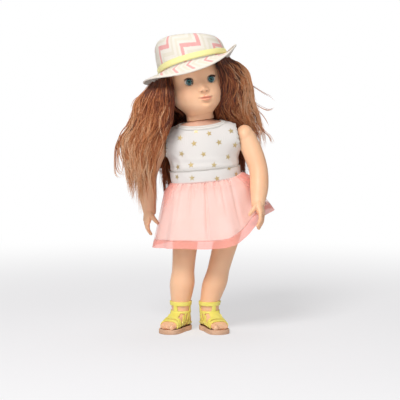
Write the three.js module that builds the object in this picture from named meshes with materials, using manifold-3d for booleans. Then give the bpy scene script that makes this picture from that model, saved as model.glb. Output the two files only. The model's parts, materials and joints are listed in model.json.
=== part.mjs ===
// A play doll: vinyl head and limbs on a stuffed cloth torso, with sleep eyes, long hair,
// a brimmed hat, a sleeveless dress with a gathered skirt, and a pair of caged sandals.
// Millimetres, +Z up, the doll stands on z = 0 and faces -Y, its left side towards +X.
import * as THREE from "three";
import { mergeVertices } from "three/addons/utils/BufferGeometryUtils.js";
import Module from "manifold-3d";

const wasm = await Module();
wasm.setup();

// Clearances
const GAP = 0.35;
const RUN = 0.6;

// Stance
const HIP_HEIGHT = 180;
const HIP_HALF_SPAN = 34.5;
const TORSO_LEAN = 5.3;
const HEAD_TURN = 10;
const HEAD_ROLL = 2.5;
const HAT_ROLL = 6;
const HAT_PITCH = -11;
const LEFT_ARM_SWING = 14;
const RIGHT_ARM_SWING = -22;
const RIGHT_ARM_OUT = 9;
const LEFT_ANKLE_SHIFT = -34;
const RIGHT_ANKLE_SHIFT = -9.5;
const LEFT_SPLAY = 24;
const RIGHT_SPLAY = 30;

// Torso, heights from the hip line
const WAIST_HEIGHT = 58;
const WAIST_HALF_WIDTH = 49.5;
const WAIST_HALF_DEPTH = 33;
const SHOULDER_HEIGHT = 116;
const CHEST_HALF_WIDTH = 51;
const CHEST_HALF_DEPTH = 31;
const SHOULDER_TO_TOP = 28;
const TORSO_TOP = SHOULDER_HEIGHT + SHOULDER_TO_TOP;
const COLLAR_HALF_WIDTH = 25;
const COLLAR_HALF_DEPTH = 20;
const CLOTH = 1.2;
const CROTCH_DEPTH = 17;
const KEEL_HALF_WIDTH = 10;

// Joint hardware
const STUD_RADIUS = 3;
const STUD_FLANGE = 8.5;
const STUD_FLANGE_THICK = 2.5;
const WASHER_RADIUS = 9;
const WASHER_THICK = 2.2;
const NECK_STEM = 8;
const NECK_FLANGE = 14;
const NECK_FLANGE_THICK = 3;
const NECK_WASHER_THICK = 1.2;

// Head, heights from the bottom of the neck
const HEAD_HEIGHT = 121.5;
const HEAD_HALF_WIDTH = 44.5;
const FACE_DEPTH = 48.5;
const NECK_HALF_WIDTH = 21;
const SKULL_DEPTH = 50;
const HEAD_POWER = 2.3;
const VINYL = 3.4;
const EYE_HEIGHT = 59.5;
const NOSE_DROP = 15;
const MOUTH_DROP = 27;
const EYE_HALF_SPAN = 17;
const EYE_RADIUS = 8.5;
const EYE_DEPTH = 13;
const EYE_SETBACK = FACE_DEPTH - EYE_DEPTH;
const EYE_OPENING = 6.8;
const LENS_BULGE = 0.8;
const IRIS_RADIUS = 3.9;
const LID_THICK = 0.5;
const LID_OPEN = 29;
const LASH_LENGTH = 2.2;
const AXLE_RADIUS = 1.2;
const BRACKET_REACH = 12;

// Hair and hat
const SCALP_HAIR = 4.5;
const HAIR_LENGTH = 200;
const HAT_DROP = 40;
const HAT_BASE = HEAD_HEIGHT - HAT_DROP;
const HAT_HEIGHT = 46;
const HAT_SLOPE = 0.22;
const HAT_HALF_WIDTH = 52.8;
const HAT_HALF_DEPTH = 59.5;
const HAT_CLOTH = 1.8;
const BRIM_WIDTH = 22;
const BRIM_FRONT_FOLD = 0.36;
const BRIM_LEFT_FOLD = 0.14;
const BRIM_RIGHT_SPREAD = 0.26;
const BAND_HEIGHT = 9.5;
const BAND_THICK = 0.9;
const SWEATBAND_HEIGHT = 12;

// Dress
const JERSEY = 1.3;
const BINDING_WIDTH = 5;
const BINDING_THICK = 2.2;
const NECKLINE_HALF_WIDTH = 27;
const NECKLINE_DROP = 12;
const ARMHOLE_RADIUS = 20;
const BAND_BOTTOM = 52;
const WAISTBAND_HEIGHT = 20;
const WAISTBAND_THICK = 2;
const LINING_HEM = -34;
const TULLE_HEM = -45;
const LINING_FLARE = 30;
const TULLE_FLARE = 37;
const HEM_SIDE_LIFT = 44;
const HEM_FAR_LIFT = 5;
const HAND_PRESS = 9;
const SKIRT_FOLDS = 11;
const LINING_THICK = 1;
const TULLE_THICK = 0.9;

// Arm, from the middle of the shoulder
const ARM_STANDOFF = 14.5;
const ARM_BALL = 17;
const UPPER_ARM = 57;
const FOREARM = 54;
const ARM_RADIUS = 15.5;
const ELBOW_RADIUS = 14.5;
const WRIST_RADIUS = 10.8;
const PALM_LENGTH = 21;
const HAND_TURN = 55;
const PALM_HALF_WIDTH = 12;
const PALM_HALF_DEPTH = 6.5;
const FINGER_LENGTH = 22;
const FINGER_RADIUS = 2.9;

// Leg and foot
const HIP_ROUND = 23;
const THIGH_RADIUS = 20;
const KNEE_RADIUS = 18;
const CALF_RADIUS = 19.2;
const ANKLE_RADIUS = 15;
const ANKLE_FROM_FLOOR = 44;
const FOOT_HEEL = 18;
const FOOT_TOE = 45;
const FOOT_HALF_WIDTH = 14;
const INSTEP_HEIGHT = 31;

// Sandal
const SOLE_THICK = 6;
const SOLE_MARGIN = 2.2;
const STRAP_THICK = 1.7;
const ANKLE_STRAP_BOTTOM = 39;
const ANKLE_STRAP_HEIGHT = 8;

// How finely the round forms are divided
const TORSO_SIDES = 18;
const HEAD_SIDES = 18;
const HOLLOW_SIDES = 12;
const LIMB_SIDES = 10;
const POST_SIDES = 14;
const LOCK_SIDES = 6;
const BRIM_SIDES = 24;

const deg = THREE.MathUtils.degToRad;

// Materials
const paint = (color, roughness, metalness = 0) =>
  new THREE.MeshStandardMaterial({ color, roughness, metalness });
const skin = paint(0xe3b48e, 0.5);
const torsoCloth = paint(0xe0b097, 0.9);
const stuffing = paint(0xf4f0ea, 1);
const hardPlastic = paint(0xe8e4da, 0.4);
const steel = paint(0xb8bcc0, 0.35, 1);
const eyeWhite = paint(0xf3f1ec, 0.25);
const irisBlue = paint(0x6d8f9a, 0.3);
const clearLens = paint(0xdfe9ec, 0.05);
const lashFibre = paint(0x2a1a14, 0.7);
const hair = paint(0x8b4a2e, 0.55);
const hatCloth = paint(0xf1e0d0, 0.9);
const ribbon = paint(0xf2cf4a, 0.45);
const jersey = paint(0xf6f2ec, 0.85);
const lining = paint(0xffd5cb, 0.85);
const tulle = paint(0xf8b8ac, 0.8);
const sandalYellow = paint(0xf5ec5e, 0.4);
const soleBeige = paint(0xddb394, 0.7);

// Booleans on closed skins
function solid(geometry) {
  const bare = geometry.clone();
  for (const name of Object.keys(bare.attributes)) {
    if (name !== "position") bare.deleteAttribute(name);
  }
  const merged = mergeVertices(bare, 1e-4);
  return new wasm.Manifold(
    new wasm.Mesh({
      numProp: 3,
      vertProperties: Float32Array.from(merged.attributes.position.array),
      triVerts: Uint32Array.from(merged.index.array),
    }),
  );
}

function skinOf(body) {
  const mesh = body.getMesh();
  const geometry = new THREE.BufferGeometry();
  geometry.setAttribute("position", new THREE.BufferAttribute(mesh.vertProperties, 3));
  geometry.setIndex(new THREE.BufferAttribute(mesh.triVerts, 1));
  geometry.computeVertexNormals();
  return geometry;
}

const join = (first, ...rest) => rest.reduce((all, body) => all.add(body), first);
const cut = (first, ...rest) => rest.reduce((all, body) => all.subtract(body), first);
const common = (first, ...rest) => rest.reduce((all, body) => all.intersect(body), first);

// A closed skin over a row of rings that have the same number of points
function ringSkin(rings) {
  const sides = rings[0].length;
  const points = rings.flat();
  const middle = (ring) => ring.reduce((sum, p) => sum.add(p), new THREE.Vector3()).divideScalar(sides);
  const index = [];
  for (let r = 0; r + 1 < rings.length; r++) {
    for (let i = 0; i < sides; i++) {
      const a = r * sides + i;
      const b = r * sides + ((i + 1) % sides);
      index.push(a, b, b + sides, a, b + sides, a + sides);
    }
  }
  const first = points.length;
  points.push(middle(rings[0]), middle(rings[rings.length - 1]));
  const top = (rings.length - 1) * sides;
  for (let i = 0; i < sides; i++) {
    const next = (i + 1) % sides;
    index.push(first, next, i, first + 1, top + i, top + next);
  }
  const geometry = new THREE.BufferGeometry().setFromPoints(points);
  geometry.setIndex(index);
  return outward(geometry);
}

// Turns a skin the right way out
function outward(geometry) {
  const p = geometry.attributes.position;
  const index = geometry.index.array;
  const [a, b, c] = [new THREE.Vector3(), new THREE.Vector3(), new THREE.Vector3()];
  let volume = 0;
  for (let i = 0; i < index.length; i += 3) {
    a.fromBufferAttribute(p, index[i]);
    b.fromBufferAttribute(p, index[i + 1]);
    c.fromBufferAttribute(p, index[i + 2]);
    volume += a.dot(b.cross(c));
  }
  if (volume < 0) {
    for (let i = 0; i < index.length; i += 3) {
      const keep = index[i + 1];
      index[i + 1] = index[i + 2];
      index[i + 2] = keep;
    }
  }
  return geometry;
}

// A smooth value between given ones
function smooth(values, t) {
  const spans = values.length - 1;
  const span = Math.min(spans - 1, Math.floor(t * spans));
  const u = t * spans - span;
  const at = (i) => values[Math.max(0, Math.min(spans, i))];
  const [p0, p1, p2, p3] = [at(span - 1), at(span), at(span + 1), at(span + 2)];
  const bend = 2 * p0 - 5 * p1 + 4 * p2 - p3 + (3 * p1 - p0 - 3 * p2 + p3) * u;
  return p1 + 0.5 * u * (p2 - p0 + u * bend);
}

// A ring across the Z axis, flatter than an ellipse where power is over 2
function levelRing(section, sides, grow = 0) {
  const ring = [];
  const power = 2 / (section.power ?? 2);
  const bow = (value) => Math.sign(value) * Math.abs(value) ** power;
  for (let i = 0; i < sides; i++) {
    const angle = (2 * Math.PI * i) / sides;
    const depth = Math.sin(angle) < 0 ? section.front : section.back;
    ring.push(
      new THREE.Vector3(
        (section.x ?? 0) + bow(Math.cos(angle)) * (section.rx + grow),
        (section.y ?? 0) + bow(Math.sin(angle)) * (depth + grow),
        section.z,
      ),
    );
  }
  return ring;
}

// A form built of level sections, grown outwards all round
function levelForm(sections, sides, grow = 0, growEnds = grow) {
  const rings = sections.map((section) => levelRing(section, sides, grow));
  rings[0].forEach((p) => (p.z -= growEnds));
  rings[rings.length - 1].forEach((p) => (p.z += growEnds));
  return ringSkin(rings);
}

// A form that follows a curve, with a half width along side and a half depth across it
function curveForm(points, widths, depths, steps, sides, grow = 0, side = new THREE.Vector3(1, 0, 0)) {
  const curve = new THREE.CatmullRomCurve3(points);
  const rings = [];
  for (let s = 0; s <= steps; s++) {
    const t = s / steps;
    const along = curve.getTangentAt(t);
    const middle = curve.getPointAt(t);
    if (s === 0) middle.addScaledVector(along, -grow);
    if (s === steps) middle.addScaledVector(along, grow);
    const across = side.clone().addScaledVector(along, -side.dot(along)).normalize();
    const forward = along.clone().cross(across);
    const ring = [];
    for (let i = 0; i < sides; i++) {
      const angle = (2 * Math.PI * i) / sides;
      const p = middle.clone();
      p.addScaledVector(across, Math.cos(angle) * (smooth(widths, t) + grow));
      p.addScaledVector(forward, Math.sin(angle) * (smooth(depths, t) + grow));
      ring.push(p);
    }
    rings.push(ring);
  }
  return ringSkin(rings);
}

// Plain bodies at a place
function box(x, y, z) {
  const geometry = new THREE.BoxGeometry(x[1] - x[0], y[1] - y[0], z[1] - z[0]);
  geometry.translate((x[0] + x[1]) / 2, (y[0] + y[1]) / 2, (z[0] + z[1]) / 2);
  return solid(geometry);
}

function ball(center, rx, ry, rz, sides = 12) {
  const geometry = new THREE.SphereGeometry(1, sides, Math.round(sides * 0.6));
  geometry.scale(rx, ry, rz);
  geometry.translate(...center);
  return solid(geometry);
}

function rod(axis, center, radius, length, sides = 10) {
  const geometry = new THREE.CylinderGeometry(radius, radius, length, sides);
  if (axis === "x") geometry.rotateZ(-Math.PI / 2);
  if (axis === "z") geometry.rotateX(Math.PI / 2);
  geometry.translate(...center);
  return solid(geometry);
}

function turned(profile, axis, center, sides = 16) {
  const geometry = new THREE.LatheGeometry(profile.map(([r, h]) => new THREE.Vector2(r, h)), sides);
  if (axis === "x") geometry.rotateZ(-Math.PI / 2);
  if (axis === "z") geometry.rotateX(Math.PI / 2);
  geometry.translate(...center);
  return solid(outward(mergeVertices(stripped(geometry), 1e-4)));
}

function stripped(geometry) {
  geometry.deleteAttribute("normal");
  geometry.deleteAttribute("uv");
  return geometry;
}

// The frames that the pieces are placed in
const part = new THREE.Group();
part.name = "play_doll";
const doll = new THREE.Group();
const hips = new THREE.Group();
const torso = new THREE.Group();
const head = new THREE.Group();
const hat = new THREE.Group();
part.add(doll);
doll.add(hips);
hips.position.z = HIP_HEIGHT;
hips.add(torso);
torso.rotation.y = deg(-TORSO_LEAN);
const NECK_GAP = NECK_WASHER_THICK + 2 * GAP + NECK_HALF_WIDTH * Math.sin(deg(HEAD_ROLL));
torso.add(head);
head.position.z = TORSO_TOP + NECK_GAP;
head.rotation.set(0, deg(-HEAD_ROLL), deg(HEAD_TURN));
head.add(hat);
hat.position.z = HAT_BASE;
hat.rotation.set(deg(HAT_PITCH), deg(-HAT_ROLL), 0);

function limbFrame(parent, x, y, z, swing, out) {
  const frame = new THREE.Group();
  frame.position.set(x, y, z);
  frame.rotation.set(deg(-swing), deg(out), 0);
  parent.add(frame);
  return frame;
}
const ARM_X = CHEST_HALF_WIDTH + ARM_STANDOFF;
const leftArm = limbFrame(torso, ARM_X, 0, SHOULDER_HEIGHT, LEFT_ARM_SWING, 0);
const rightArm = limbFrame(torso, -ARM_X, 0, SHOULDER_HEIGHT, RIGHT_ARM_SWING, RIGHT_ARM_OUT);
const leftLeg = limbFrame(hips, HIP_HALF_SPAN, 0, 0, 0, 0);
const rightLeg = limbFrame(hips, -HIP_HALF_SPAN, 0, 0, 0, 0);
part.updateMatrixWorld(true);

function add(name, body, material, frame) {
  const mesh = new THREE.Mesh(body.isBufferGeometry ? body : skinOf(body), material);
  mesh.name = name;
  frame.add(mesh);
  return mesh;
}

// A skin carried from one frame to another
function carried(geometry, from, to) {
  const move = to.matrixWorld.clone().invert().multiply(from.matrixWorld);
  return geometry.clone().applyMatrix4(move);
}

// Torso form
const TORSO_BOTTOM = HIP_ROUND + RUN + WAIST_HALF_WIDTH * Math.sin(deg(TORSO_LEAN));
const torsoRow = [
  { z: TORSO_BOTTOM, rx: WAIST_HALF_WIDTH - 8, ry: WAIST_HALF_DEPTH - 8 },
  { z: TORSO_BOTTOM + 9, rx: WAIST_HALF_WIDTH - 3, ry: WAIST_HALF_DEPTH - 2 },
  { z: WAIST_HEIGHT, rx: WAIST_HALF_WIDTH, ry: WAIST_HALF_DEPTH },
  { z: SHOULDER_HEIGHT - 13, rx: CHEST_HALF_WIDTH, ry: CHEST_HALF_DEPTH },
  { z: SHOULDER_HEIGHT + 5, rx: CHEST_HALF_WIDTH - 1, ry: CHEST_HALF_DEPTH - 2.5 },
  { z: TORSO_TOP - 11, rx: CHEST_HALF_WIDTH - 5, ry: CHEST_HALF_DEPTH - 6 },
  { z: TORSO_TOP - 4, rx: CHEST_HALF_WIDTH - 13, ry: CHEST_HALF_DEPTH - 9 },
  { z: TORSO_TOP, rx: COLLAR_HALF_WIDTH, ry: COLLAR_HALF_DEPTH },
].map(({ z, rx, ry }) => ({ z, rx, front: ry, back: ry }));
const keelRow = [
  { z: -CROTCH_DEPTH, rx: KEEL_HALF_WIDTH - 4, ry: 7 },
  { z: -CROTCH_DEPTH + 6, rx: KEEL_HALF_WIDTH - 0.5, ry: 14 },
  { z: 4, rx: KEEL_HALF_WIDTH, ry: 19 },
  { z: TORSO_BOTTOM + 6, rx: KEEL_HALF_WIDTH, ry: 22 },
].map(({ z, rx, ry }) => ({ z, rx, front: ry, back: ry }));
const torsoForm = (grow, growEnds = grow) => levelForm(torsoRow, TORSO_SIDES, grow, growEnds);
const torsoBody = (grow) => {
  const keel = levelForm(keelRow, LIMB_SIDES, grow);
  keel.rotateY(deg(TORSO_LEAN));
  return join(solid(torsoForm(grow)), solid(keel));
};

// Joint hardware at a shoulder or hip: flange in the limb, stud into the torso, washer on its end
const STUD_IN = 9;
const shaft = (axisX, side, z, radius, from, to) =>
  rod("x", [axisX + (side * (from + to)) / 2, 0, z], radius, Math.abs(to - from));

const stemHole = rod("z", [0, 0, TORSO_TOP], NECK_STEM + RUN, 40, POST_SIDES);
const shoulderFace = CHEST_HALF_WIDTH;
const shoulderBore = (radius, inset) =>
  [1, -1].map((side) => shaft(0, side, SHOULDER_HEIGHT, radius, shoulderFace - inset, shoulderFace + 5));
const washerPlace = shoulderFace - STUD_IN;

const shoulderPockets = [1, -1].map((side) =>
  shaft(0, side, SHOULDER_HEIGHT, WASHER_RADIUS + 2 * RUN, washerPlace - 3,
    washerPlace + WASHER_THICK + GAP));
const hipBore = rodAcrossHips(STUD_RADIUS + RUN, 2 * KEEL_HALF_WIDTH + 20);
const hipPocket = rodAcrossHips(WASHER_RADIUS + 2 * RUN, 2 * (KEEL_HALF_WIDTH - 2.4));

function rodAcrossHips(radius, length) {
  const geometry = new THREE.CylinderGeometry(radius, radius, length, 10);
  geometry.rotateZ(-Math.PI / 2);
  geometry.rotateY(deg(TORSO_LEAN));
  return solid(geometry);
}

const flangeTop = TORSO_TOP - CLOTH - 6;
const flangePocket = rod("z", [0, 0, flangeTop - NECK_FLANGE_THICK / 2], NECK_FLANGE + GAP,
  NECK_FLANGE_THICK + 2 * GAP, POST_SIDES);
add("torso_cover", cut(torsoBody(0), torsoBody(-CLOTH), stemHole, ...shoulderBore(STUD_RADIUS + RUN, 20),
  hipBore), torsoCloth, torso);
add("torso_stuffing", cut(torsoBody(-CLOTH - GAP), stemHole, flangePocket,
  ...shoulderBore(STUD_RADIUS + RUN, STUD_IN + 4), ...shoulderPockets, hipBore, hipPocket), stuffing, torso);

// Neck post: a flange in the stuffing, a stem, and a button inside the head
const stemEnd = TORSO_TOP + NECK_GAP + VINYL + RUN + 1;
const post = turned([
  [0, flangeTop - NECK_FLANGE_THICK],
  [NECK_FLANGE, flangeTop - NECK_FLANGE_THICK],
  [NECK_FLANGE, flangeTop],
  [NECK_STEM, flangeTop],
  [NECK_STEM, stemEnd],
  [NECK_STEM + 4, stemEnd],
  [NECK_STEM + 4, stemEnd + 3],
  [0, stemEnd + 6],
], "z", [0, 0, 0], POST_SIDES);
add("neck_post", post, hardPlastic, torso);
const neckRing = (z, height) => cut(
  rod("z", [0, 0, z + height / 2], NECK_HALF_WIDTH - 2, height, POST_SIDES),
  rod("z", [0, 0, z], NECK_STEM + GAP, 20, POST_SIDES));
add("neck_washer", neckRing(TORSO_TOP + GAP, NECK_WASHER_THICK), hardPlastic, torso);

// Head form: neck, jaw, cheeks and skull
const headShares = [
  [0.098, 0.585, 0.68, 0.48],
  [0.141, 0.73, 0.866, 0.58],
  [0.214, 0.876, 0.96, 0.74],
  [0.329, 0.933, 1, 0.9],
  [EYE_HEIGHT / HEAD_HEIGHT, 0.989, 1, 0.98],
  [0.658, 1, 1.01, 1],
  [0.806, 0.955, 0.97, 0.98],
  [0.885, 0.843, 0.835, 0.86],
  [0.951, 0.652, 0.598, 0.62],
  [0.992, 0.315, 0.289, 0.3],
  [1, 0.045, 0.041, 0.04],
];
const headRow = [
  { z: 0, rx: NECK_HALF_WIDTH, front: NECK_HALF_WIDTH - 1.5, back: NECK_HALF_WIDTH },
  { z: HEAD_HEIGHT * 0.065, rx: NECK_HALF_WIDTH - 0.5, front: NECK_HALF_WIDTH - 1, back: NECK_HALF_WIDTH },
  ...headShares.map(([height, width, face, skull]) => ({
    z: HEAD_HEIGHT * height,
    rx: HEAD_HALF_WIDTH * width,
    front: FACE_DEPTH * face,
    back: SKULL_DEPTH * skull,
  })),
].map((section) => ({ ...section, power: HEAD_POWER }));
const headForm = (grow, sides = HEAD_SIDES) => levelForm(headRow, sides, grow);
const nose = join(
  ball([0, -FACE_DEPTH - 0.6, EYE_HEIGHT - NOSE_DROP], 4.6, 5, 4, 8),
  ball([0, -FACE_DEPTH, EYE_HEIGHT - NOSE_DROP + 5], 2.6, 2.6, 8, 8));
const lips = join(
  ball([0, -FACE_DEPTH + 0.8, EYE_HEIGHT - MOUTH_DROP + 1.5], 9, 2.6, 1.9, 10),
  ball([0, -FACE_DEPTH + 1, EYE_HEIGHT - MOUTH_DROP - 1.5], 7.5, 2.9, 2.2, 10));
const eyeX = [EYE_HALF_SPAN, -EYE_HALF_SPAN];
const axle = (radius, half) => rod("x", [0, -EYE_SETBACK, EYE_HEIGHT], radius, 2 * half, 8);
const bracketX = EYE_HALF_SPAN + EYE_RADIUS + 1;
const axleHalf = bracketX + 1.6;
const eyeRoom = EYE_RADIUS + LENS_BULGE + RUN;
const eyeHoles = eyeX.flatMap((x) => {
  const hole = new THREE.CylinderGeometry(EYE_OPENING, EYE_OPENING, 40, 12);
  hole.translate(x, -EYE_SETBACK - 20, EYE_HEIGHT);
  return [solid(hole), ball([x, -EYE_SETBACK, EYE_HEIGHT], eyeRoom, eyeRoom, eyeRoom, 12)];
});
const headHollow = cut(solid(headForm(-VINYL, HOLLOW_SIDES)), rod("z", [0, 0, 0], 60, 2 * VINYL));
const neckHole = rod("z", [0, 0, 0], NECK_STEM + RUN, 30, POST_SIDES);
add("head_shell", cut(join(solid(headForm(0)), nose, lips), headHollow, neckHole,
  axle(AXLE_RADIUS + RUN, axleHalf + RUN), ...eyeHoles), skin, head);

// Sleep eyes on one axle, with a weight behind them
const eyeNames = ["left", "right"];
const FLAT = EYE_RADIUS - 1.2;
eyeX.forEach((x, i) => {
  const at = (y) => [x, -EYE_SETBACK - y, EYE_HEIGHT];
  const face = box([x - 12, x + 12], [-EYE_SETBACK - 20, -EYE_SETBACK - FLAT],
    [EYE_HEIGHT - 12, EYE_HEIGHT + 12]);
  const bead = cut(ball(at(0), EYE_RADIUS, EYE_RADIUS, EYE_RADIUS, 10), face, axle(AXLE_RADIUS + GAP, 40));
  add(`eyeball_${eyeNames[i]}`, bead, eyeWhite, head);
  const disc = new THREE.CylinderGeometry(IRIS_RADIUS, IRIS_RADIUS, 0.5, 12);
  disc.translate(...at(FLAT + GAP + 0.25));
  add(`iris_${eyeNames[i]}`, solid(disc), irisBlue, head);
  const lensBack = FLAT + 2 * GAP + 0.5;
  const lensFront = EYE_RADIUS + LENS_BULGE;
  const lens = turned([
    [0, lensBack],
    [IRIS_RADIUS - 0.2, lensBack],
    [IRIS_RADIUS - 1, (lensBack + 2 * lensFront) / 3],
    [0, lensFront],
  ], "y", [0, 0, 0], 12);
  const lensSkin = skinOf(lens).rotateX(Math.PI);
  lensSkin.translate(...at(0));
  add(`lens_${eyeNames[i]}`, solid(lensSkin), clearLens, head);
  const lidBody = cut(
    ball(at(0), EYE_RADIUS + 0.3 + LID_THICK, EYE_RADIUS + 0.3 + LID_THICK, EYE_RADIUS + 0.3 + LID_THICK, 10),
    ball(at(0), EYE_RADIUS + 0.3, EYE_RADIUS + 0.3, EYE_RADIUS + 0.3, 10),
    axle(AXLE_RADIUS + GAP, 40));
  const wedge = new THREE.BoxGeometry(40, 40, 20);
  wedge.translate(0, 0, 10);
  wedge.rotateX(deg(-LID_OPEN));
  wedge.translate(...at(0));
  add(`eyelid_${eyeNames[i]}`, common(lidBody, solid(wedge)), skin, head);
  const fringe = new THREE.CylinderGeometry(EYE_RADIUS + LASH_LENGTH, EYE_RADIUS + LASH_LENGTH, 0.4, 20);
  const inner = new THREE.CylinderGeometry(EYE_RADIUS + 0.35, EYE_RADIUS + 0.35, 2, 20);
  const front = box([-3.8, 3.8], [-30, 0], [-5, 5]);
  [fringe, inner].forEach((ring) => ring.rotateX(Math.PI / 2));
  const lashSkin = skinOf(common(cut(solid(fringe), solid(inner)), front));
  lashSkin.translate(0, 0, -0.32);
  lashSkin.rotateX(deg(-LID_OPEN));
  lashSkin.translate(...at(0));
  add(`lash_${eyeNames[i]}`, solid(lashSkin), lashFibre, head);
  const side = Math.sign(x);
  const reach = [side * bracketX, side * (HEAD_HALF_WIDTH + 10)].sort((a, b) => a - b);
  const arm = box(reach, [-EYE_SETBACK - 3, -EYE_SETBACK + BRACKET_REACH], [EYE_HEIGHT - 3, EYE_HEIGHT + 3]);
  add(`eye_bracket_${eyeNames[i]}`, cut(common(arm, solid(headForm(-VINYL - GAP, HOLLOW_SIDES))),
    axle(AXLE_RADIUS + RUN, axleHalf + RUN)), hardPlastic, head);
});
add("eye_axle", axle(AXLE_RADIUS, axleHalf), steel, head);
const weightArm = new THREE.BoxGeometry(2.4, 20, 2.4);
weightArm.translate(0, 12, 0);
weightArm.rotateX(deg(-48));
weightArm.translate(0, -EYE_SETBACK, EYE_HEIGHT);
const weightBlock = box([-7, 7], [-EYE_SETBACK + 9, -EYE_SETBACK + 18], [EYE_HEIGHT - 21, EYE_HEIGHT - 12]);
const collar = rod("x", [0, -EYE_SETBACK, EYE_HEIGHT], AXLE_RADIUS + 2, 6, 8);
add("eye_weight", cut(join(collar, solid(weightArm), weightBlock), axle(AXLE_RADIUS + GAP, 20)), steel, head);

// Hat: crown, brim, ribbon and sweatband
const hatRow = (half, depth) => [
  { z: 0, rx: half, ry: depth },
  { z: HAT_HEIGHT * 0.35, rx: half - 0.4, ry: depth - 0.6 },
  { z: HAT_HEIGHT * 0.68, rx: half - 2.6, ry: depth - 3 },
  { z: HAT_HEIGHT * 0.88, rx: half - 8.5, ry: depth - 9.5 },
  { z: HAT_HEIGHT * 0.97, rx: half - 22, ry: depth - 24 },
  { z: HAT_HEIGHT, rx: 5, ry: 5 },
].map(({ z, rx, ry }) => ({ z, rx, front: ry, back: ry, power: HEAD_POWER }));
const hatForm = (grow, down) => {
  const row = hatRow(HAT_HALF_WIDTH + grow, HAT_HALF_DEPTH + grow);
  row[row.length - 1].z += grow;
  row[0].z -= down;
  const form = levelForm(row, HEAD_SIDES, 0);
  const spot = form.getAttribute("position");
  for (let i = 0; i < spot.count; i++) {
    const rise = Math.max(0, spot.getZ(i)) / HAT_HEIGHT;
    spot.setZ(i, spot.getZ(i) - HAT_SLOPE * rise * spot.getX(i));
  }
  return solid(form);
};
add("hat_crown", cut(hatForm(0, 0), hatForm(-HAT_CLOTH, 5)), hatCloth, hat);
const hatSlab = (low, high) => box([-90, 90], [-90, 90], [low, high]);
add("hat_band", common(cut(hatForm(GAP + BAND_THICK, 0), hatForm(GAP, 5)), hatSlab(1.2, 1.2 + BAND_HEIGHT)),
  ribbon, hat);
// The brim hangs down in front and turns up over the left ear
const brimLift = (c, s) => -0.1 + 10 * c + 8.5 * s + 7.4 * (c * c - s * s);
function brimRing(out, drop) {
  const edge = { z: 0, rx: HAT_HALF_WIDTH, front: HAT_HALF_DEPTH, back: HAT_HALF_DEPTH, power: HEAD_POWER };
  const ring = levelRing(edge, BRIM_SIDES, -HAT_CLOTH);
  const full = levelRing(edge, BRIM_SIDES, out * BRIM_WIDTH - HAT_CLOTH);
  ring.forEach((p, i) => {
    const angle = (2 * Math.PI * i) / BRIM_SIDES;
    const [c, s] = [Math.cos(angle), Math.sin(angle)];
    p.lerp(full[i], 1 - BRIM_FRONT_FOLD * Math.max(0, -s) ** 2 - BRIM_LEFT_FOLD * Math.max(0, c) ** 4
      + BRIM_RIGHT_SPREAD * Math.max(0, -c) ** 4);
    const lift = Math.max(0, (out - 0.12) / 0.88) ** 1.3 * brimLift(c, s);
    p.z = lift - GAP - drop;
  });
  return ring;
}
const brimTop = [0, 0.12, 0.5, 1].map((out) => brimRing(out, 0));
const brimUnder = [1, 0.5, 0.12, 0].map((out) => brimRing(out, HAT_CLOTH));
add("hat_brim", hoop([...brimTop, ...brimUnder]), hatCloth, hat);

// A closed skin over rings that come round to the first again
function hoop(rings) {
  const sides = rings[0].length;
  const index = [];
  for (let r = 0; r < rings.length; r++) {
    const next = (r + 1) % rings.length;
    for (let i = 0; i < sides; i++) {
      const j = (i + 1) % sides;
      const [a, b, c, d] = [r * sides + i, r * sides + j, next * sides + j, next * sides + i];
      index.push(a, b, c, a, c, d);
    }
  }
  const geometry = new THREE.BufferGeometry().setFromPoints(rings.flat());
  geometry.setIndex(index);
  return solid(outward(geometry));
}

// Hair on the scalp, pressed flat by the hat, and down the back of the head
const scalpForm = (grow) => solid(headForm(grow));
const faceClear = new THREE.CylinderGeometry(1, 1, 120, 20);
faceClear.scale(HEAD_HALF_WIDTH - 4, 1, 52);
faceClear.translate(0, -60 - 4, 52);
const belowHair = box([-90, 90], [-90, 90], [-30, 26]);
const hatWall = cut(hatForm(GAP, 0), hatForm(-HAT_CLOTH - GAP, 5));
const underHat = solid(carried(skinOf(hatWall), hat, head));
const scalp = cut(scalpForm(SCALP_HAIR + GAP), scalpForm(GAP), solid(faceClear), belowHair, underHat);
add("hair_scalp", largest(scalp), hair, head);
const sweat = cut(common(hatForm(-HAT_CLOTH - GAP, 0), hatSlab(1, 1 + SWEATBAND_HEIGHT)),
  solid(carried(headForm(SCALP_HAIR + 2 * GAP), head, hat)));
add("hat_sweatband", sweat, hatCloth, hat);

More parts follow.
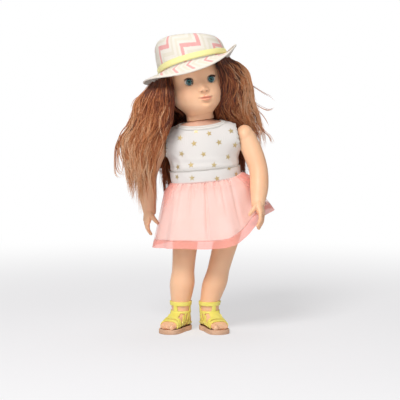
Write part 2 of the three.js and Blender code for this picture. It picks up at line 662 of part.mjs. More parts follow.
// Arms
function armForm(side, grow) {
  const at = (x, y, z) => new THREE.Vector3(side * x, y, z);
  const elbow = at(UPPER_ARM * 0.27, -2, -UPPER_ARM * 0.96);
  const wrist = elbow.clone().add(at(-FOREARM * 0.1, -FOREARM * 0.2, -FOREARM * 0.97));
  const knuckle = wrist.clone().add(at(-PALM_LENGTH * 0.22, -PALM_LENGTH * 0.2, -PALM_LENGTH * 0.95));
  const shoulder = at(0, 0, 0);
  const upper = at(UPPER_ARM * 0.17, -0.5, -UPPER_ARM * 0.48);
  const middle = elbow.clone().lerp(wrist, 0.5).add(at(1.5, 1, 0));
  const limb = curveForm([shoulder, upper, elbow, middle, wrist],
    [ARM_RADIUS, ARM_RADIUS, ELBOW_RADIUS, ELBOW_RADIUS - 0.4, WRIST_RADIUS],
    [ARM_RADIUS, ARM_RADIUS, ELBOW_RADIUS, ELBOW_RADIUS - 0.6, WRIST_RADIUS - 1.4], 7, LIMB_SIDES, grow);
  const palm = curveForm([wrist, wrist.clone().lerp(knuckle, 0.5), knuckle],
    [WRIST_RADIUS, PALM_HALF_WIDTH, PALM_HALF_WIDTH],
    [WRIST_RADIUS - 1.6, PALM_HALF_DEPTH, PALM_HALF_DEPTH - 1.5], 3, LIMB_SIDES, grow);
  const cap = ball([0, 0, 0], ARM_STANDOFF - RUN + grow, ARM_BALL + grow, ARM_BALL + grow, 10);
  const hand = [solid(palm)];
  const spread = PALM_HALF_WIDTH - FINGER_RADIUS - 0.2;
  [-1, -0.33, 0.33, 1].forEach((place, i) => {
    const base = knuckle.clone().add(at(place * spread, 0, 2));
    const tip = base.clone().add(at(place * 1.2 - 2.5, -1.5, -FINGER_LENGTH + 2.2 * Math.abs(i - 1.6)));
    const bend = base.clone().lerp(tip, 0.55).add(at(0, -1.2, 0));
    hand.push(solid(curveForm([base, bend, tip], [FINGER_RADIUS, FINGER_RADIUS, FINGER_RADIUS - 1],
      [FINGER_RADIUS, FINGER_RADIUS, FINGER_RADIUS - 1], 2, 6, grow)));
  });
  const thumbBase = wrist.clone().lerp(knuckle, 0.35).add(at(-PALM_HALF_WIDTH + 4, -1, 0));
  const thumbTip = thumbBase.clone().add(at(-8.5, -5, -14));
  const thumbBend = thumbBase.clone().lerp(thumbTip, 0.5).add(at(-2.2, -1, 0));
  hand.push(solid(curveForm([thumbBase, thumbBend, thumbTip], [4, 3.5, 2.2], [4, 3.4, 2.2], 2, 6, grow)));
  const turned = join(...hand)
    .translate([-wrist.x, -wrist.y, 0])
    .rotate([0, 0, side * HAND_TURN])
    .translate([wrist.x, wrist.y, 0]);
  return join(cap, solid(limb), turned);
}
const studFace = ARM_STANDOFF - RUN;
[[1, leftArm, "left"], [-1, rightArm, "right"]].forEach(([side, frame, name]) => {
  const straight = new THREE.Group();
  straight.position.copy(frame.position);
  torso.add(straight);
  straight.updateMatrixWorld(true);
  const from = -side * studFace;
  const along = (start, end, radius) =>
    rod("x", [from + (side * (start + end)) / 2, 0, 0], radius, Math.abs(end - start));
  const seat = STUD_FLANGE_THICK + 2 * GAP;
  const recess = solid(carried(skinOf(along(-4, seat, STUD_FLANGE + GAP)), straight, frame));
  add(`arm_${name}`, cut(armForm(side, 0), recess), skin, frame);
  const inward = -RUN - STUD_IN - 2;
  add(`arm_stud_${name}`, join(along(GAP, GAP + STUD_FLANGE_THICK, STUD_FLANGE),
    along(inward, GAP + 1, STUD_RADIUS)), hardPlastic, straight);
  const ringIn = -RUN - STUD_IN;
  add(`arm_washer_${name}`, cut(along(ringIn, ringIn + WASHER_THICK, WASHER_RADIUS),
    along(inward - 5, 5, STUD_RADIUS + GAP)), hardPlastic, straight);
});

// Legs and feet
const footRow = [
  { y: FOOT_HEEL, w: 6, h: 12 },
  { y: FOOT_HEEL - 4, w: 10.5, h: 20 },
  { y: FOOT_HEEL - 12, w: 12.5, h: INSTEP_HEIGHT },
  { y: -6, w: 12.5, h: INSTEP_HEIGHT - 2 },
  { y: -18, w: FOOT_HALF_WIDTH - 0.8, h: 21 },
  { y: -FOOT_TOE + 15, w: FOOT_HALF_WIDTH, h: 14 },
  { y: -FOOT_TOE + 6, w: FOOT_HALF_WIDTH - 0.5, h: 9 },
  { y: -FOOT_TOE, w: FOOT_HALF_WIDTH - 4.5, h: 5.5 },
];
const FOOT_BOTTOM = SOLE_THICK + GAP;
function footForm(grow) {
  const rings = footRow.map(({ y, w, h }) => {
    const ring = [];
    for (let i = 0; i < LIMB_SIDES; i++) {
      const angle = (2 * Math.PI * i) / LIMB_SIDES;
      const bow = (value) => Math.sign(value) * Math.abs(value) ** 0.72;
      ring.push(new THREE.Vector3(
        bow(Math.cos(angle)) * (w + grow), y, FOOT_BOTTOM + h / 2 + bow(Math.sin(angle)) * (h / 2 + grow)));
    }
    return ring;
  });
  rings[0].forEach((p) => (p.y += grow));
  rings[rings.length - 1].forEach((p) => (p.y -= grow));
  return ringSkin(rings);
}
const LEG_LENGTH = HIP_HEIGHT - ANKLE_FROM_FLOOR;
const LEAN_START = 10;
function legRow(shift) {
  const lean = (z) => shift * THREE.MathUtils.clamp((-z - LEAN_START) / (LEG_LENGTH - LEAN_START), 0, 1);
  return [
    { z: 0, r: THIGH_RADIUS, d: 2 },
    { z: -LEG_LENGTH * 0.19, r: THIGH_RADIUS, d: 1.5 },
    { z: -LEG_LENGTH * 0.38, r: THIGH_RADIUS - 1, d: 1 },
    { z: -LEG_LENGTH * 0.5, r: KNEE_RADIUS, d: 1 },
    { z: -LEG_LENGTH * 0.63, r: KNEE_RADIUS - 0.6, d: 0.5 },
    { z: -LEG_LENGTH * 0.78, r: CALF_RADIUS, d: 1 },
    { z: -LEG_LENGTH * 0.9, r: CALF_RADIUS - 2, d: 1 },
    { z: -LEG_LENGTH, r: ANKLE_RADIUS, d: 1 },
    { z: -HIP_HEIGHT + FOOT_BOTTOM + 14, r: ANKLE_RADIUS - 1.5, d: 1 },
  ].map(({ z, r, d }) => ({ z, x: lean(z), y: 2, rx: r, front: r + d, back: r + d }));
}
const legs = [[1, leftLeg, "left", LEFT_ANKLE_SHIFT, LEFT_SPLAY],
  [-1, rightLeg, "right", RIGHT_ANKLE_SHIFT, -RIGHT_SPLAY]];
legs.forEach(([side, frame, name, shift, splay]) => {
  const foot = new THREE.Group();
  foot.position.set(shift, 2, -HIP_HEIGHT);
  foot.rotation.z = deg(splay);
  frame.add(foot);
  foot.updateMatrixWorld(true);
  const legForm = (grow) => levelForm(legRow(shift), LIMB_SIDES, grow, 0);
  const footBody = (grow) => solid(footForm(grow));
  const legInFoot = (grow) => solid(carried(legForm(grow), frame, foot));
  const inner = HIP_HALF_SPAN - KEEL_HALF_WIDTH - RUN;
  const boss = rod("x", [(-side * inner) / 2, 0, 0], 13, inner);
  const round = ball([0, 0, 0], THIGH_RADIUS, HIP_ROUND, HIP_ROUND, 12);
  const along = (start, end, radius) =>
    rod("x", [-side * (inner - (start + end) / 2), 0, 0], radius, Math.abs(end - start));
  const recess = along(-4, STUD_FLANGE_THICK + 2 * GAP, STUD_FLANGE + GAP);
  const toes = [-1, -0.52, -0.1, 0.3, 0.68].map((place, i) => {
    const size = i === 0 ? 4.2 : 3.1 - 0.12 * i;
    const x = side * (place * (FOOT_HALF_WIDTH - 4.6) + 1);
    return ball([x, -FOOT_TOE + 1.2 + 1.1 * i, FOOT_BOTTOM + size + 0.3], size, size + 1.6, size, 6);
  });
  const footAll = skinOf(join(footBody(0), ...toes));
  add(`leg_${name}`, cut(join(solid(legForm(0)), round, boss, solid(carried(footAll, foot, frame))), recess),
    skin, frame);
  const inward = -RUN - KEEL_HALF_WIDTH + 1.2;
  add(`leg_stud_${name}`, join(along(GAP, GAP + STUD_FLANGE_THICK, STUD_FLANGE),
    along(inward, GAP + 1, STUD_RADIUS)), hardPlastic, frame);
  const ringIn = -RUN - KEEL_HALF_WIDTH + 3.2;
  add(`leg_washer_${name}`, cut(along(ringIn, ringIn + WASHER_THICK, WASHER_RADIUS),
    along(inward - 5, 5, STUD_RADIUS + GAP)), hardPlastic, frame);

  // Sandal: sole, caged upper with a T strap, ankle strap
  const outline = new THREE.Shape();
  const edge = [
    [0, FOOT_HEEL + SOLE_MARGIN], [-10, FOOT_HEEL - 2], [-12.5 - SOLE_MARGIN * 0.6, FOOT_HEEL - 12],
    [-12 - SOLE_MARGIN * 0.6, -6], [-FOOT_HALF_WIDTH - SOLE_MARGIN, -FOOT_TOE + 18],
    [-FOOT_HALF_WIDTH - SOLE_MARGIN + 2, -FOOT_TOE + 3], [0, -FOOT_TOE - SOLE_MARGIN - 1.8],
  ];
  const rim = [...edge, ...edge.slice(1, -1).reverse().map(([x, y]) => [-x, y])];
  const rimCurve = new THREE.CatmullRomCurve3(rim.map(([x, y]) => new THREE.Vector3(x, y, 0)), true);
  outline.setFromPoints(rimCurve.getPoints(28).slice(0, 28).map((p) => new THREE.Vector2(p.x, p.y)));
  const sole = new THREE.ExtrudeGeometry(outline, { depth: SOLE_THICK, bevelEnabled: false });
  add(`sandal_sole_${name}`, solid(sole), soleBeige, foot);
  const shell = cut(join(footBody(GAP + STRAP_THICK), legInFoot(GAP + STRAP_THICK)),
    join(footBody(GAP), legInFoot(GAP)));
  const strapTop = ANKLE_STRAP_BOTTOM + ANKLE_STRAP_HEIGHT;
  const wide = [-40, 40];
  const low = FOOT_BOTTOM;
  const strapLow = ANKLE_STRAP_BOTTOM - GAP;
  const keep = join(
    box(wide, [-FOOT_TOE + 15, 40], [low, low + 6]),
    box(wide, [-FOOT_TOE + 14, -FOOT_TOE + 26], [low, low + 30]),
    box([-4, 4], [-FOOT_TOE + 16, 2], [low + 6, strapLow]),
    box(wide, [-11, -6.5], [low, strapLow]),
    box(wide, [FOOT_HEEL - 9, 40], [low, strapLow]),
    box(wide, [-6.6, FOOT_HEEL], [low + 17, low + 21]));
  add(`sandal_upper_${name}`, common(shell, keep), sandalYellow, foot);
  const around = cut(legInFoot(GAP + STRAP_THICK), legInFoot(GAP), footBody(GAP));
  add(`sandal_strap_${name}`, common(around, box(wide, [-60, 60], [ANKLE_STRAP_BOTTOM, strapTop])),
    sandalYellow, foot);
});

// Dress bodice: front and two backs, bound at the neck and armholes
const bodiceLow = BAND_BOTTOM + 3;
const neckline = (grow) => {
  const opening = new THREE.CylinderGeometry(1, 1, 60, 16);
  opening.rotateX(Math.PI / 2);
  opening.scale(NECKLINE_HALF_WIDTH + grow, COLLAR_HALF_DEPTH + 5 + grow, 1);
  opening.translate(0, 0, 30 - grow * 0.4);
  opening.rotateX(deg(14));
  opening.translate(0, 0, TORSO_TOP - NECKLINE_DROP + 3);
  return solid(opening);
};
const armholes = (grow) => [1, -1].map((side) =>
  shaft(0, side, SHOULDER_HEIGHT - 1, ARMHOLE_RADIUS + grow, CHEST_HALF_WIDTH - 16, CHEST_HALF_WIDTH + 30));
const layer = (inside, thick) => cut(solid(torsoForm(inside + thick)), solid(torsoForm(inside)));
const bodice = common(
  cut(layer(GAP, JERSEY), neckline(BINDING_WIDTH + GAP), ...armholes(BINDING_WIDTH - 1.5 + GAP)),
  box([-90, 90], [-90, 90], [bodiceLow, TORSO_TOP + 20]));
const BACK_SEAM = 4;
add("bodice_front", common(bodice, box([-90, 90], [-90, BACK_SEAM], [0, 200])), jersey, torso);
add("bodice_back_left", common(bodice, box([GAP / 2, 90], [BACK_SEAM + GAP, 90], [0, 200])), jersey, torso);
add("bodice_back_right", common(bodice, box([-90, -GAP / 2], [BACK_SEAM + GAP, 90], [0, 200])), jersey,
  torso);
const bindingLayer = layer(GAP, BINDING_THICK);
add("neck_binding", common(bindingLayer, cut(neckline(BINDING_WIDTH), neckline(0))), jersey, torso);
const [leftHoleOut, rightHoleOut] = armholes(BINDING_WIDTH - 1.5);
const [leftHoleIn, rightHoleIn] = armholes(0);
add("armhole_binding_left", common(bindingLayer, cut(leftHoleOut, leftHoleIn)), jersey, torso);
add("armhole_binding_right", common(bindingLayer, cut(rightHoleOut, rightHoleIn)), jersey, torso);
const bandInside = 2 * GAP + JERSEY;
const bandTop = BAND_BOTTOM + WAISTBAND_HEIGHT;
add("waistband", common(layer(bandInside, WAISTBAND_THICK),
  box([-90, 90], [-90, 90], [BAND_BOTTOM, bandTop])), jersey, torso);
add("back_closure", common(layer(bandInside, 1),
  box([-5, 5], [0, 90], [bandTop + GAP, TORSO_TOP - NECKLINE_DROP - 9])), jersey, torso);

// Skirt: lining and tulle, gathered at the waistband and falling in folds
function skirtForm(inside, thick, hem, flare, phase) {
  const rows = [0, 0.14, 1];
  const count = 4 * SKIRT_FOLDS;
  const base = torsoRow[2];
  const ringAt = (t, out) => {
    const ring = [];
    const spread = flare * (0.16 * Math.min(1, t / 0.12) + 0.84 * t);
    for (let i = 0; i < count; i++) {
      const angle = (2 * Math.PI * i) / count;
      const side = Math.max(0, Math.cos(angle - 0.15));
      const turned = Math.atan2(Math.sin(angle + 0.55), Math.cos(angle + 0.55));
      const press = HAND_PRESS * Math.exp(-((turned / 0.3) ** 2));
      const wave = 2 * Math.cos(SKIRT_FOLDS * angle + phase) + 1.3 * Math.cos(5 * angle + 2 * phase);
      const fold = t * (wave - press);
      const reach = inside + out + spread + fold;
      const lift = HEM_SIDE_LIFT * side ** 1.7 + HEM_FAR_LIFT * Math.max(0, -Math.cos(angle)) ** 2;
      const drop = hem + lift + 1.5 * t * Math.cos(3 * angle + phase);
      ring.push(new THREE.Vector3(
        Math.cos(angle) * (base.rx + reach),
        Math.sin(angle) * (base.front + reach * 0.82),
        THREE.MathUtils.lerp(BAND_BOTTOM - GAP, drop, t)));
    }
    return ring;
  };
  return hoop([...rows.map((t) => ringAt(t, thick)), ...[...rows].reverse().map((t) => ringAt(t, 0))]);
}
add("skirt_lining", skirtForm(bandInside, LINING_THICK, LINING_HEM, LINING_FLARE, 0.4), lining, torso);
const tulleInside = bandInside + LINING_THICK + 2.2;
add("skirt_tulle", skirtForm(tulleInside, TULLE_THICK, TULLE_HEM, TULLE_FLARE, 0.4), tulle, torso);

// Falls of hair, in hundredths of the hair's length from the bottom of the neck,
// cut clear of all that they lie against
const keepOff = join(
  solid(carried(headForm(SCALP_HAIR + 2 * GAP), head, doll)),
  solid(carried(skinOf(hatForm(4, 6)), hat, doll)),
  solid(carried(torsoForm(BINDING_THICK + 3 * GAP), torso, doll)),
  solid(carried(skinOf(armForm(1, 2 * GAP)), leftArm, doll)),
  solid(carried(skinOf(armForm(-1, 2 * GAP)), rightArm, doll)),
  solid(carried(skinOf(hoop([brimRing(0, -3), brimRing(1, -3), brimRing(1, 3), brimRing(0, 3)])), hat, doll)),
  solid(carried(skinOf(skirtForm(0, 12, TULLE_HEM, TULLE_FLARE, 0.4)), torso, doll)),
);
const faceRoom = new THREE.CylinderGeometry(1, 1, 120, 16);
faceRoom.scale(HEAD_HALF_WIDTH - 11, 1, 50);
faceRoom.translate(7, -60 - 20, 50);
const faceOpen = solid(carried(faceRoom, head, doll));
const neckPlace = doll.worldToLocal(head.getWorldPosition(new THREE.Vector3()));
function locks(list) {
  const unit = HAIR_LENGTH / 100;
  return join(...list.map(({ path, wide, deep }) => {
    const points = path.map(([x, y, z]) => new THREE.Vector3(x, y, z).multiplyScalar(unit).add(neckPlace));
    const sized = (list) => list.map((value) => value * unit);
    return solid(curveForm(points, sized(wide), sized(deep), 6, LOCK_SIDES));
  }));
}
function largest(body) {
  return body.decompose().reduce((best, piece) => (piece.volume() > best.volume() ? piece : best));
}
// A slim lock of hair, flat at its root and pointed at its tip
const slim = (path) => ({ path, wide: [3, 3.8, 4, 3.8, 1.5], deep: [3, 3.8, 3.7, 3.2, 1.3] });
const fall = (list) => largest(cut(locks(list), keepOff, faceOpen));
add("hair_right", fall([
  [[-37.5, -2, 27.5], [-49, -4.5, 8], [-57.5, -6, -13], [-56, -7, -35.5], [-55, -7.5, -58.5]],
  [[-34.5, -5, 28.5], [-44, -9, 6.5], [-52.5, -11, -16.5], [-52, -10.5, -41], [-51.5, -10, -65.5]],
  [[-31.5, -8.5, 29.5], [-39.5, -14.5, 4.5], [-47.5, -15, -21], [-47.5, -13, -48], [-45, -12, -74.5]],
  [[-29.5, -12.5, 31.5], [-34, -18.5, 6.5], [-41.5, -18, -18], [-43.5, -14.5, -43.5], [-42, -13.5, -69.5]],
  [[-26.5, -16, 32], [-29, -21.5, 5], [-37, -19.5, -22], [-39, -16, -49], [-37, -14.5, -77]],
  [[-23.5, -18.5, 32], [-23, -22.5, 7], [-30, -21, -17.5], [-35.5, -17.5, -41.5], [-31, -15.5, -66.5]],
].map(slim)), hair, doll);
add("hair_left", fall([
  [[28, 4, 43.5], [38, 7.5, 26.5], [42, 12.5, 7], [49, 16.5, -11.5], [50.5, 17.5, -32]],
  [[25, -1.5, 42], [33, 3.5, 24.5], [35.5, 9.5, 6], [42.5, 15.5, -11.5], [47, 18, -30.5]],
  [[22.5, -6, 40.5], [28.5, 0, 23], [29.5, 7.5, 5.5], [37.5, 15, -11], [44.5, 18, -28.5]],
  [[20, -10, 39], [24.5, -3.5, 21.5], [24.5, 5.5, 4], [33, 15, -10.5], [42, 18.5, -27]],
  [[17.5, -14.5, 37], [20, -7, 19.5], [19.5, 3.5, 3], [28, 14, -10.5], [39.5, 18.5, -26]],
  [[15.5, -18.5, 36], [16.5, -10, 18], [14.5, 1.5, 2], [24, 14, -10], [37, 19, -24.5]],
].map(slim)), hair, doll);
add("hair_back", fall([
  { path: [[-19, 20, 29], [-22, 23, 7], [-23, 25, -13], [-22, 25, -32], [-20, 24, -51]],
    wide: [5.5, 7, 7.5, 6.5, 3], deep: [5, 6.5, 6, 5, 2.5] },
  { path: [[-8, 28, 29], [-11, 27, 7], [-12, 26, -13], [-11, 26, -34], [-9, 25, -55]],
    wide: [6.5, 7.5, 7.5, 7, 3], deep: [5, 6.5, 6, 5, 2.5] },
  { path: [[4, 29, 30], [2, 28, 7], [1, 26.5, -13], [2, 26.5, -35], [4, 26, -57]],
    wide: [6.5, 7.5, 7.5, 7, 3], deep: [5, 6.5, 6, 5, 2.5] },
  { path: [[15, 24, 29], [15, 26, 7], [15, 26.5, -13], [14, 26.5, -33], [13, 26, -54]],
    wide: [5.5, 7, 7, 6.5, 3], deep: [5, 6.5, 6, 5, 2.5] },
]), hair, doll);

// The part's origin is the middle of its plan, on the floor
doll.updateMatrixWorld(true);
const plan = new THREE.Box3().setFromObject(part, true);
doll.position.x = -(plan.min.x + plan.max.x) / 2;
doll.position.y = -(plan.min.y + plan.max.y) / 2;
part.updateMatrixWorld(true);

export default part;
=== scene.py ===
import json
import math

import bpy
import numpy as np
from mathutils import Matrix, Vector


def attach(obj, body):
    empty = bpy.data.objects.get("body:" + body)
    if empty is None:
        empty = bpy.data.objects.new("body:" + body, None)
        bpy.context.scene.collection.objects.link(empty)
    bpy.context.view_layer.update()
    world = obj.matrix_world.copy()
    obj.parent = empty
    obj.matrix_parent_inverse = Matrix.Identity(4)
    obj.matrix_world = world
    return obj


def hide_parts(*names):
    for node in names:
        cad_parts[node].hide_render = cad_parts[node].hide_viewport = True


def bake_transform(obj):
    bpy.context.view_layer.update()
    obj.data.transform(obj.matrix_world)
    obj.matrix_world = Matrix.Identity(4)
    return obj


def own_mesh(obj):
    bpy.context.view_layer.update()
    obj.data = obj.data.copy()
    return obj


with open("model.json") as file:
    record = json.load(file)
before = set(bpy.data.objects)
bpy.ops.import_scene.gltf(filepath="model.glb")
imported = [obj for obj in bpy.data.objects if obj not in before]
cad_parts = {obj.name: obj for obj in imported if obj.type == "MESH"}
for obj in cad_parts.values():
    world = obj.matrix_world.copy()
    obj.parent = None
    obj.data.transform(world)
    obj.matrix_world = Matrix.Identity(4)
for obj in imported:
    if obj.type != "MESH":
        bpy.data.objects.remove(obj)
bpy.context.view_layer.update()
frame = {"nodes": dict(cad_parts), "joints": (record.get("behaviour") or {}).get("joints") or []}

bpy.ops.object.select_all(action="DESELECT")
rng = np.random.default_rng(7)

# Frames of the doll's parts, in millimetres: +Z up, the face towards -Y, the left side towards +X
MM = 0.001
TO_METRES, TO_MM = Matrix.Scale(MM, 4), Matrix.Scale(1 / MM, 4)


def turn(axis, degrees):
    return Matrix.Rotation(math.radians(degrees), 4, axis)


def shift(x, y, z):
    return Matrix.Translation((x, y, z))


SIDE = {"left": 1, "right": -1}
TORSO_LEAN = 5.3
NECK_Z, HAT_Z = 146.82, 81.5
SHOULDER_X, SHOULDER_Z = 65.5, 116
ANKLE_SHIFT = {"left": -34, "right": -9.5}
SPLAY = {"left": 24, "right": -30}
joint_place = {j["name"]: Vector(j["pos_m"]) / MM for j in frame["joints"]}
HIPS = (joint_place["left_hip"] + joint_place["right_hip"]) / 2
TORSO = Matrix.Translation(HIPS) @ turn("Y", -TORSO_LEAN)
HEAD = TORSO @ shift(0, 0, NECK_Z) @ turn("Y", -2.5) @ turn("Z", 10)
HAT = HEAD @ shift(0, 0, HAT_Z) @ turn("X", -11) @ turn("Y", -6)
ARM = {
    "left": TORSO @ shift(SHOULDER_X, 0, SHOULDER_Z) @ turn("X", -14),
    "right": TORSO @ shift(-SHOULDER_X, 0, SHOULDER_Z) @ turn("X", 22) @ turn("Y", 9),
}
LEG = {s: Matrix.Translation(joint_place[s + "_hip"]) for s in SIDE}
FOOT = {s: LEG[s] @ shift(ANKLE_SHIFT[s], 2, -180) @ turn("Z", SPLAY[s]) for s in SIDE}
HAIR_PLACE = shift(HIPS.x - 20.5, HIPS.y + 0.1, 0)

# Camera at the photograph's angle: the frame is 616 mm wide at the doll's middle
FRAME_WIDTH = 0.616
CAMERA_DISTANCE = 2.4
CAMERA_RISE = math.radians(5)
SENSOR_WIDTH = 36
aim = Vector((0.0066, 0, 0.2025))
camera_data = bpy.data.cameras.new("camera")
camera_data.sensor_width = SENSOR_WIDTH
camera_data.lens = SENSOR_WIDTH * CAMERA_DISTANCE / FRAME_WIDTH
camera = bpy.data.objects.new("camera", camera_data)
bpy.context.scene.collection.objects.link(camera)
away = Vector((0, -math.cos(CAMERA_RISE), math.sin(CAMERA_RISE)))
camera.location = aim + away * CAMERA_DISTANCE
camera.rotation_euler = (-away).to_track_quat("-Z", "Y").to_euler()
bpy.context.scene.camera = camera

# Materials. A wave pattern at this scale has one band to a unit of its map
ONE_BAND = 0.314


def colour(code):
    """sRGB hex to linear red, green, blue and alpha"""
    parts = [int(code[i:i + 2], 16) / 255 for i in (1, 3, 5)]
    return tuple(p / 12.92 if p <= 0.04045 else ((p + 0.055) / 1.055) ** 2.4 for p in parts) + (1,)


def node(tree, kind, inputs=None, stops=(), **settings):
    """Adds a node with its settings and colour stops, and its inputs as values or links"""
    made = tree.nodes.new("ShaderNode" + kind)
    for key, value in settings.items():
        setattr(made, key, value)
    for key, value in (inputs or {}).items():
        if isinstance(value, bpy.types.NodeSocket):
            tree.links.new(value, made.inputs[key])
        else:
            made.inputs[key].default_value = value
    if stops:
        elements = made.color_ramp.elements
        while len(elements) < len(stops):
            elements.new(0.5)
        for element, (place, code) in zip(elements, stops):
            element.position = place
            element.color = colour(code)
    return made


def finish_of(name, **sockets):
    """A new material with constants on its shader's own sockets"""
    made = bpy.data.materials.new(name)
    made.use_nodes = True
    tree = made.node_tree
    for key, value in sockets.items():
        tree.nodes["Principled BSDF"].inputs[key.replace("_", " ")].default_value = value
    return made, tree


def surfaced(made, tone, height=None, strength=0.0, depth_mm=0.3, **others):
    """Links a material's shader to its tone, its fine relief and its other patterns"""
    tree = made.node_tree
    links = {"Base Color": tone, **others}
    if height is not None:
        bump = node(tree, "Bump", {"Height": height, "Strength": strength, "Distance": depth_mm * MM})
        links["Normal"] = bump.outputs["Normal"]
    for key, socket in links.items():
        tree.links.new(socket, tree.nodes["Principled BSDF"].inputs[key])
    return made


def clouded(tree, size_mm, tones):
    """Slow changes between two tones, in the piece's own space"""
    place = node(tree, "TexCoord").outputs["Object"]
    cloud = node(tree, "TexNoise", {"Vector": place, "Scale": 1 / (size_mm * MM), "Detail": 2})
    tone = node(tree, "ValToRGB", {"Fac": cloud.outputs["Fac"]}, [(0.3, tones[0]), (0.7, tones[1])])
    return place, tone.outputs["Color"]


def threads(tree, thread_mm, distortion, ways):
    """A cloth's own map, and waves across it, one for each way that its threads run"""
    across = node(tree, "UVMap", uv_map="cloth").outputs["UV"]
    size = {"Vector": across, "Scale": ONE_BAND / thread_mm, "Distortion": distortion}
    return across, *(node(tree, "TexWave", size, bands_direction=way).outputs["Fac"] for way in ways)


def vinyl_skin():
    # Soft vinyl, rotation moulded: an even peach tone, a soft sheen, painted lips, cheeks and lids, and
    # painted shade round nose and mouth
    made, tree = finish_of("soft_vinyl_skin", Roughness=0.46, IOR=1.5, Subsurface_Weight=0.12,
                           Subsurface_Radius=(1.0, 0.45, 0.25), Subsurface_Scale=0.004)
    place, tone = clouded(tree, 45, ("#F7C097", "#FBC9A2"))
    for name, code in (("blush", "#E0947A"), ("lip", "#E58A76"), ("shade", "#8A5236"), ("liner", "#2B1B16")):
        mask = node(tree, "Attribute", attribute_name=name).outputs["Fac"]
        mixed = node(tree, "Mix", {"Factor": mask, "A": tone, "B": colour(code)}, data_type="RGBA")
        tone = mixed.outputs["Result"]
    pores = node(tree, "TexNoise", {"Vector": place, "Scale": 1 / (1.2 * MM), "Detail": 3})
    return surfaced(made, tone, pores.outputs["Fac"], 0.05, 0.4)


def hair_fibre():
    # Rooted synthetic fibre: each strand has its own tone, with a broad soft highlight
    made, tree = finish_of("hair_fibre", Roughness=0.42, IOR=1.55)
    tone = node(tree, "Attribute", attribute_name="tone").outputs["Fac"]
    shade = node(tree, "ValToRGB", {"Fac": tone}, [
        (0.0, "#361509"), (0.22, "#743418"), (0.48, "#B5663A"), (0.76, "#D68F5C"), (1.0, "#EFC39C")])
    return surfaced(made, shade.outputs["Color"])


def hair_mass():
    # The packed fibres inside a fall, drawn in fine streaks along its length: darker than the strands, a
    # painted shade
    made, tree = finish_of("packed_hair", Roughness=0.6)
    place = node(tree, "TexCoord").outputs["Object"]
    drawn = node(tree, "Mapping", {"Vector": place, "Scale": (1, 1, 0.06)}).outputs["Vector"]
    streak = node(tree, "TexNoise", {"Vector": drawn, "Scale": 1 / (1.6 * MM), "Detail": 3}).outputs["Fac"]
    tone = node(tree, "ValToRGB", {"Fac": streak}, [(0.3, "#3A1A0F"), (0.55, "#6A351D"), (0.75, "#8C4C2C")])
    return surfaced(made, tone.outputs["Color"], streak, 0.7, 1.5)


def hat_canvas(name, angle, offset, leg_mm, every_mm, pink_mm):
    # Woven cotton printed with zigzag stripes in pink and beige on cream, coarse enough to see the threads
    made, tree = finish_of(name, Roughness=0.9, Sheen_Weight=0.1)
    across, warp, weft = threads(tree, 1.3, 0.8, "XY")
    turned = node(tree, "Mapping", {"Vector": across, "Location": offset,
                                    "Rotation": (0, 0, math.radians(angle))}).outputs["Vector"]
    split = node(tree, "SeparateXYZ", {"Vector": turned})
    saw = node(tree, "Math", {0: split.outputs["X"], 1: leg_mm}, operation="PINGPONG").outputs[0]
    smudge = node(tree, "TexNoise", {"Vector": across, "Scale": 0.5, "Detail": 2}).outputs["Fac"]
    rough_edge = node(tree, "Math", {0: smudge, 1: 2.4, 2: saw}, operation="MULTIPLY_ADD").outputs[0]
    climb = node(tree, "Math", {0: rough_edge, 1: split.outputs["Y"]}, operation="ADD").outputs[0]
    turns = node(tree, "Math", {0: climb, 1: every_mm}, operation="DIVIDE").outputs[0]
    share = node(tree, "Math", {0: turns}, operation="FRACT").outputs[0]
    cream, pink, beige = "#EFE8DC", "#EFA6A3", "#E8E0CE"
    pink_share, beige_share = pink_mm / every_mm, 4.5 / every_mm
    stops = [(0.0, cream), (0.02, cream), (0.03, pink), (0.03 + pink_share, pink), (0.04 + pink_share, cream)]
    for start in (0.36, 0.70):
        stops += [(start, cream), (start + 0.02, beige), (start + 0.02 + beige_share, beige),
                  (start + 0.04 + beige_share, cream)]
    stripes = node(tree, "ValToRGB", {"Fac": share}, stops + [(1.0, cream)]).outputs["Color"]
    weave = node(tree, "Math", {0: warp, 1: weft}, operation="MULTIPLY").outputs[0]
    soft = node(tree, "Mix", {"Factor": weave, "A": stripes, "B": colour("#F1E9DD")}, data_type="RGBA")
    worn = node(tree, "TexNoise", {"Vector": across, "Scale": 0.22, "Detail": 3}).outputs["Fac"]
    kept = node(tree, "MapRange", {"Value": worn, "From Min": 0.35, "From Max": 0.6,
                                   "To Min": 0.4, "To Max": 0.85}).outputs["Result"]
    dim = node(tree, "Mix", {"Factor": kept, "A": soft.outputs["Result"], "B": stripes}, data_type="RGBA")
    return surfaced(made, dim.outputs["Result"], weave, 0.5, 0.5)


def woven(name, tones, thread_mm, roughness, strength, sheen=0.0):
    # Cloth with a visible thread on its own map in millimetres, and slow changes of tone
    made, tree = finish_of(name, Roughness=roughness, Sheen_Weight=sheen)
    _, warp, weft = threads(tree, thread_mm, 0.6, "XY")
    weave = node(tree, "Math", {0: warp, 1: weft}, operation="ADD").outputs[0]
    return surfaced(made, clouded(tree, 25, tones)[1], weave, strength)


def ribbed(name, tones, rib_mm, roughness, strength, along, sheen):
    # Knit or grosgrain: ribs side by side on the piece's own map, their grooves painted darker and their
    # crests lighter, a painted shade and highlight
    made, tree = finish_of(name, Roughness=roughness, Sheen_Weight=sheen)
    _, ribs = threads(tree, rib_mm, 0.3, along)
    tone = node(tree, "ValToRGB", {"Fac": ribs}, [(0.0, tones[0]), (0.6, tones[1])])
    return surfaced(made, tone.outputs["Color"], ribs, strength, 0.4)


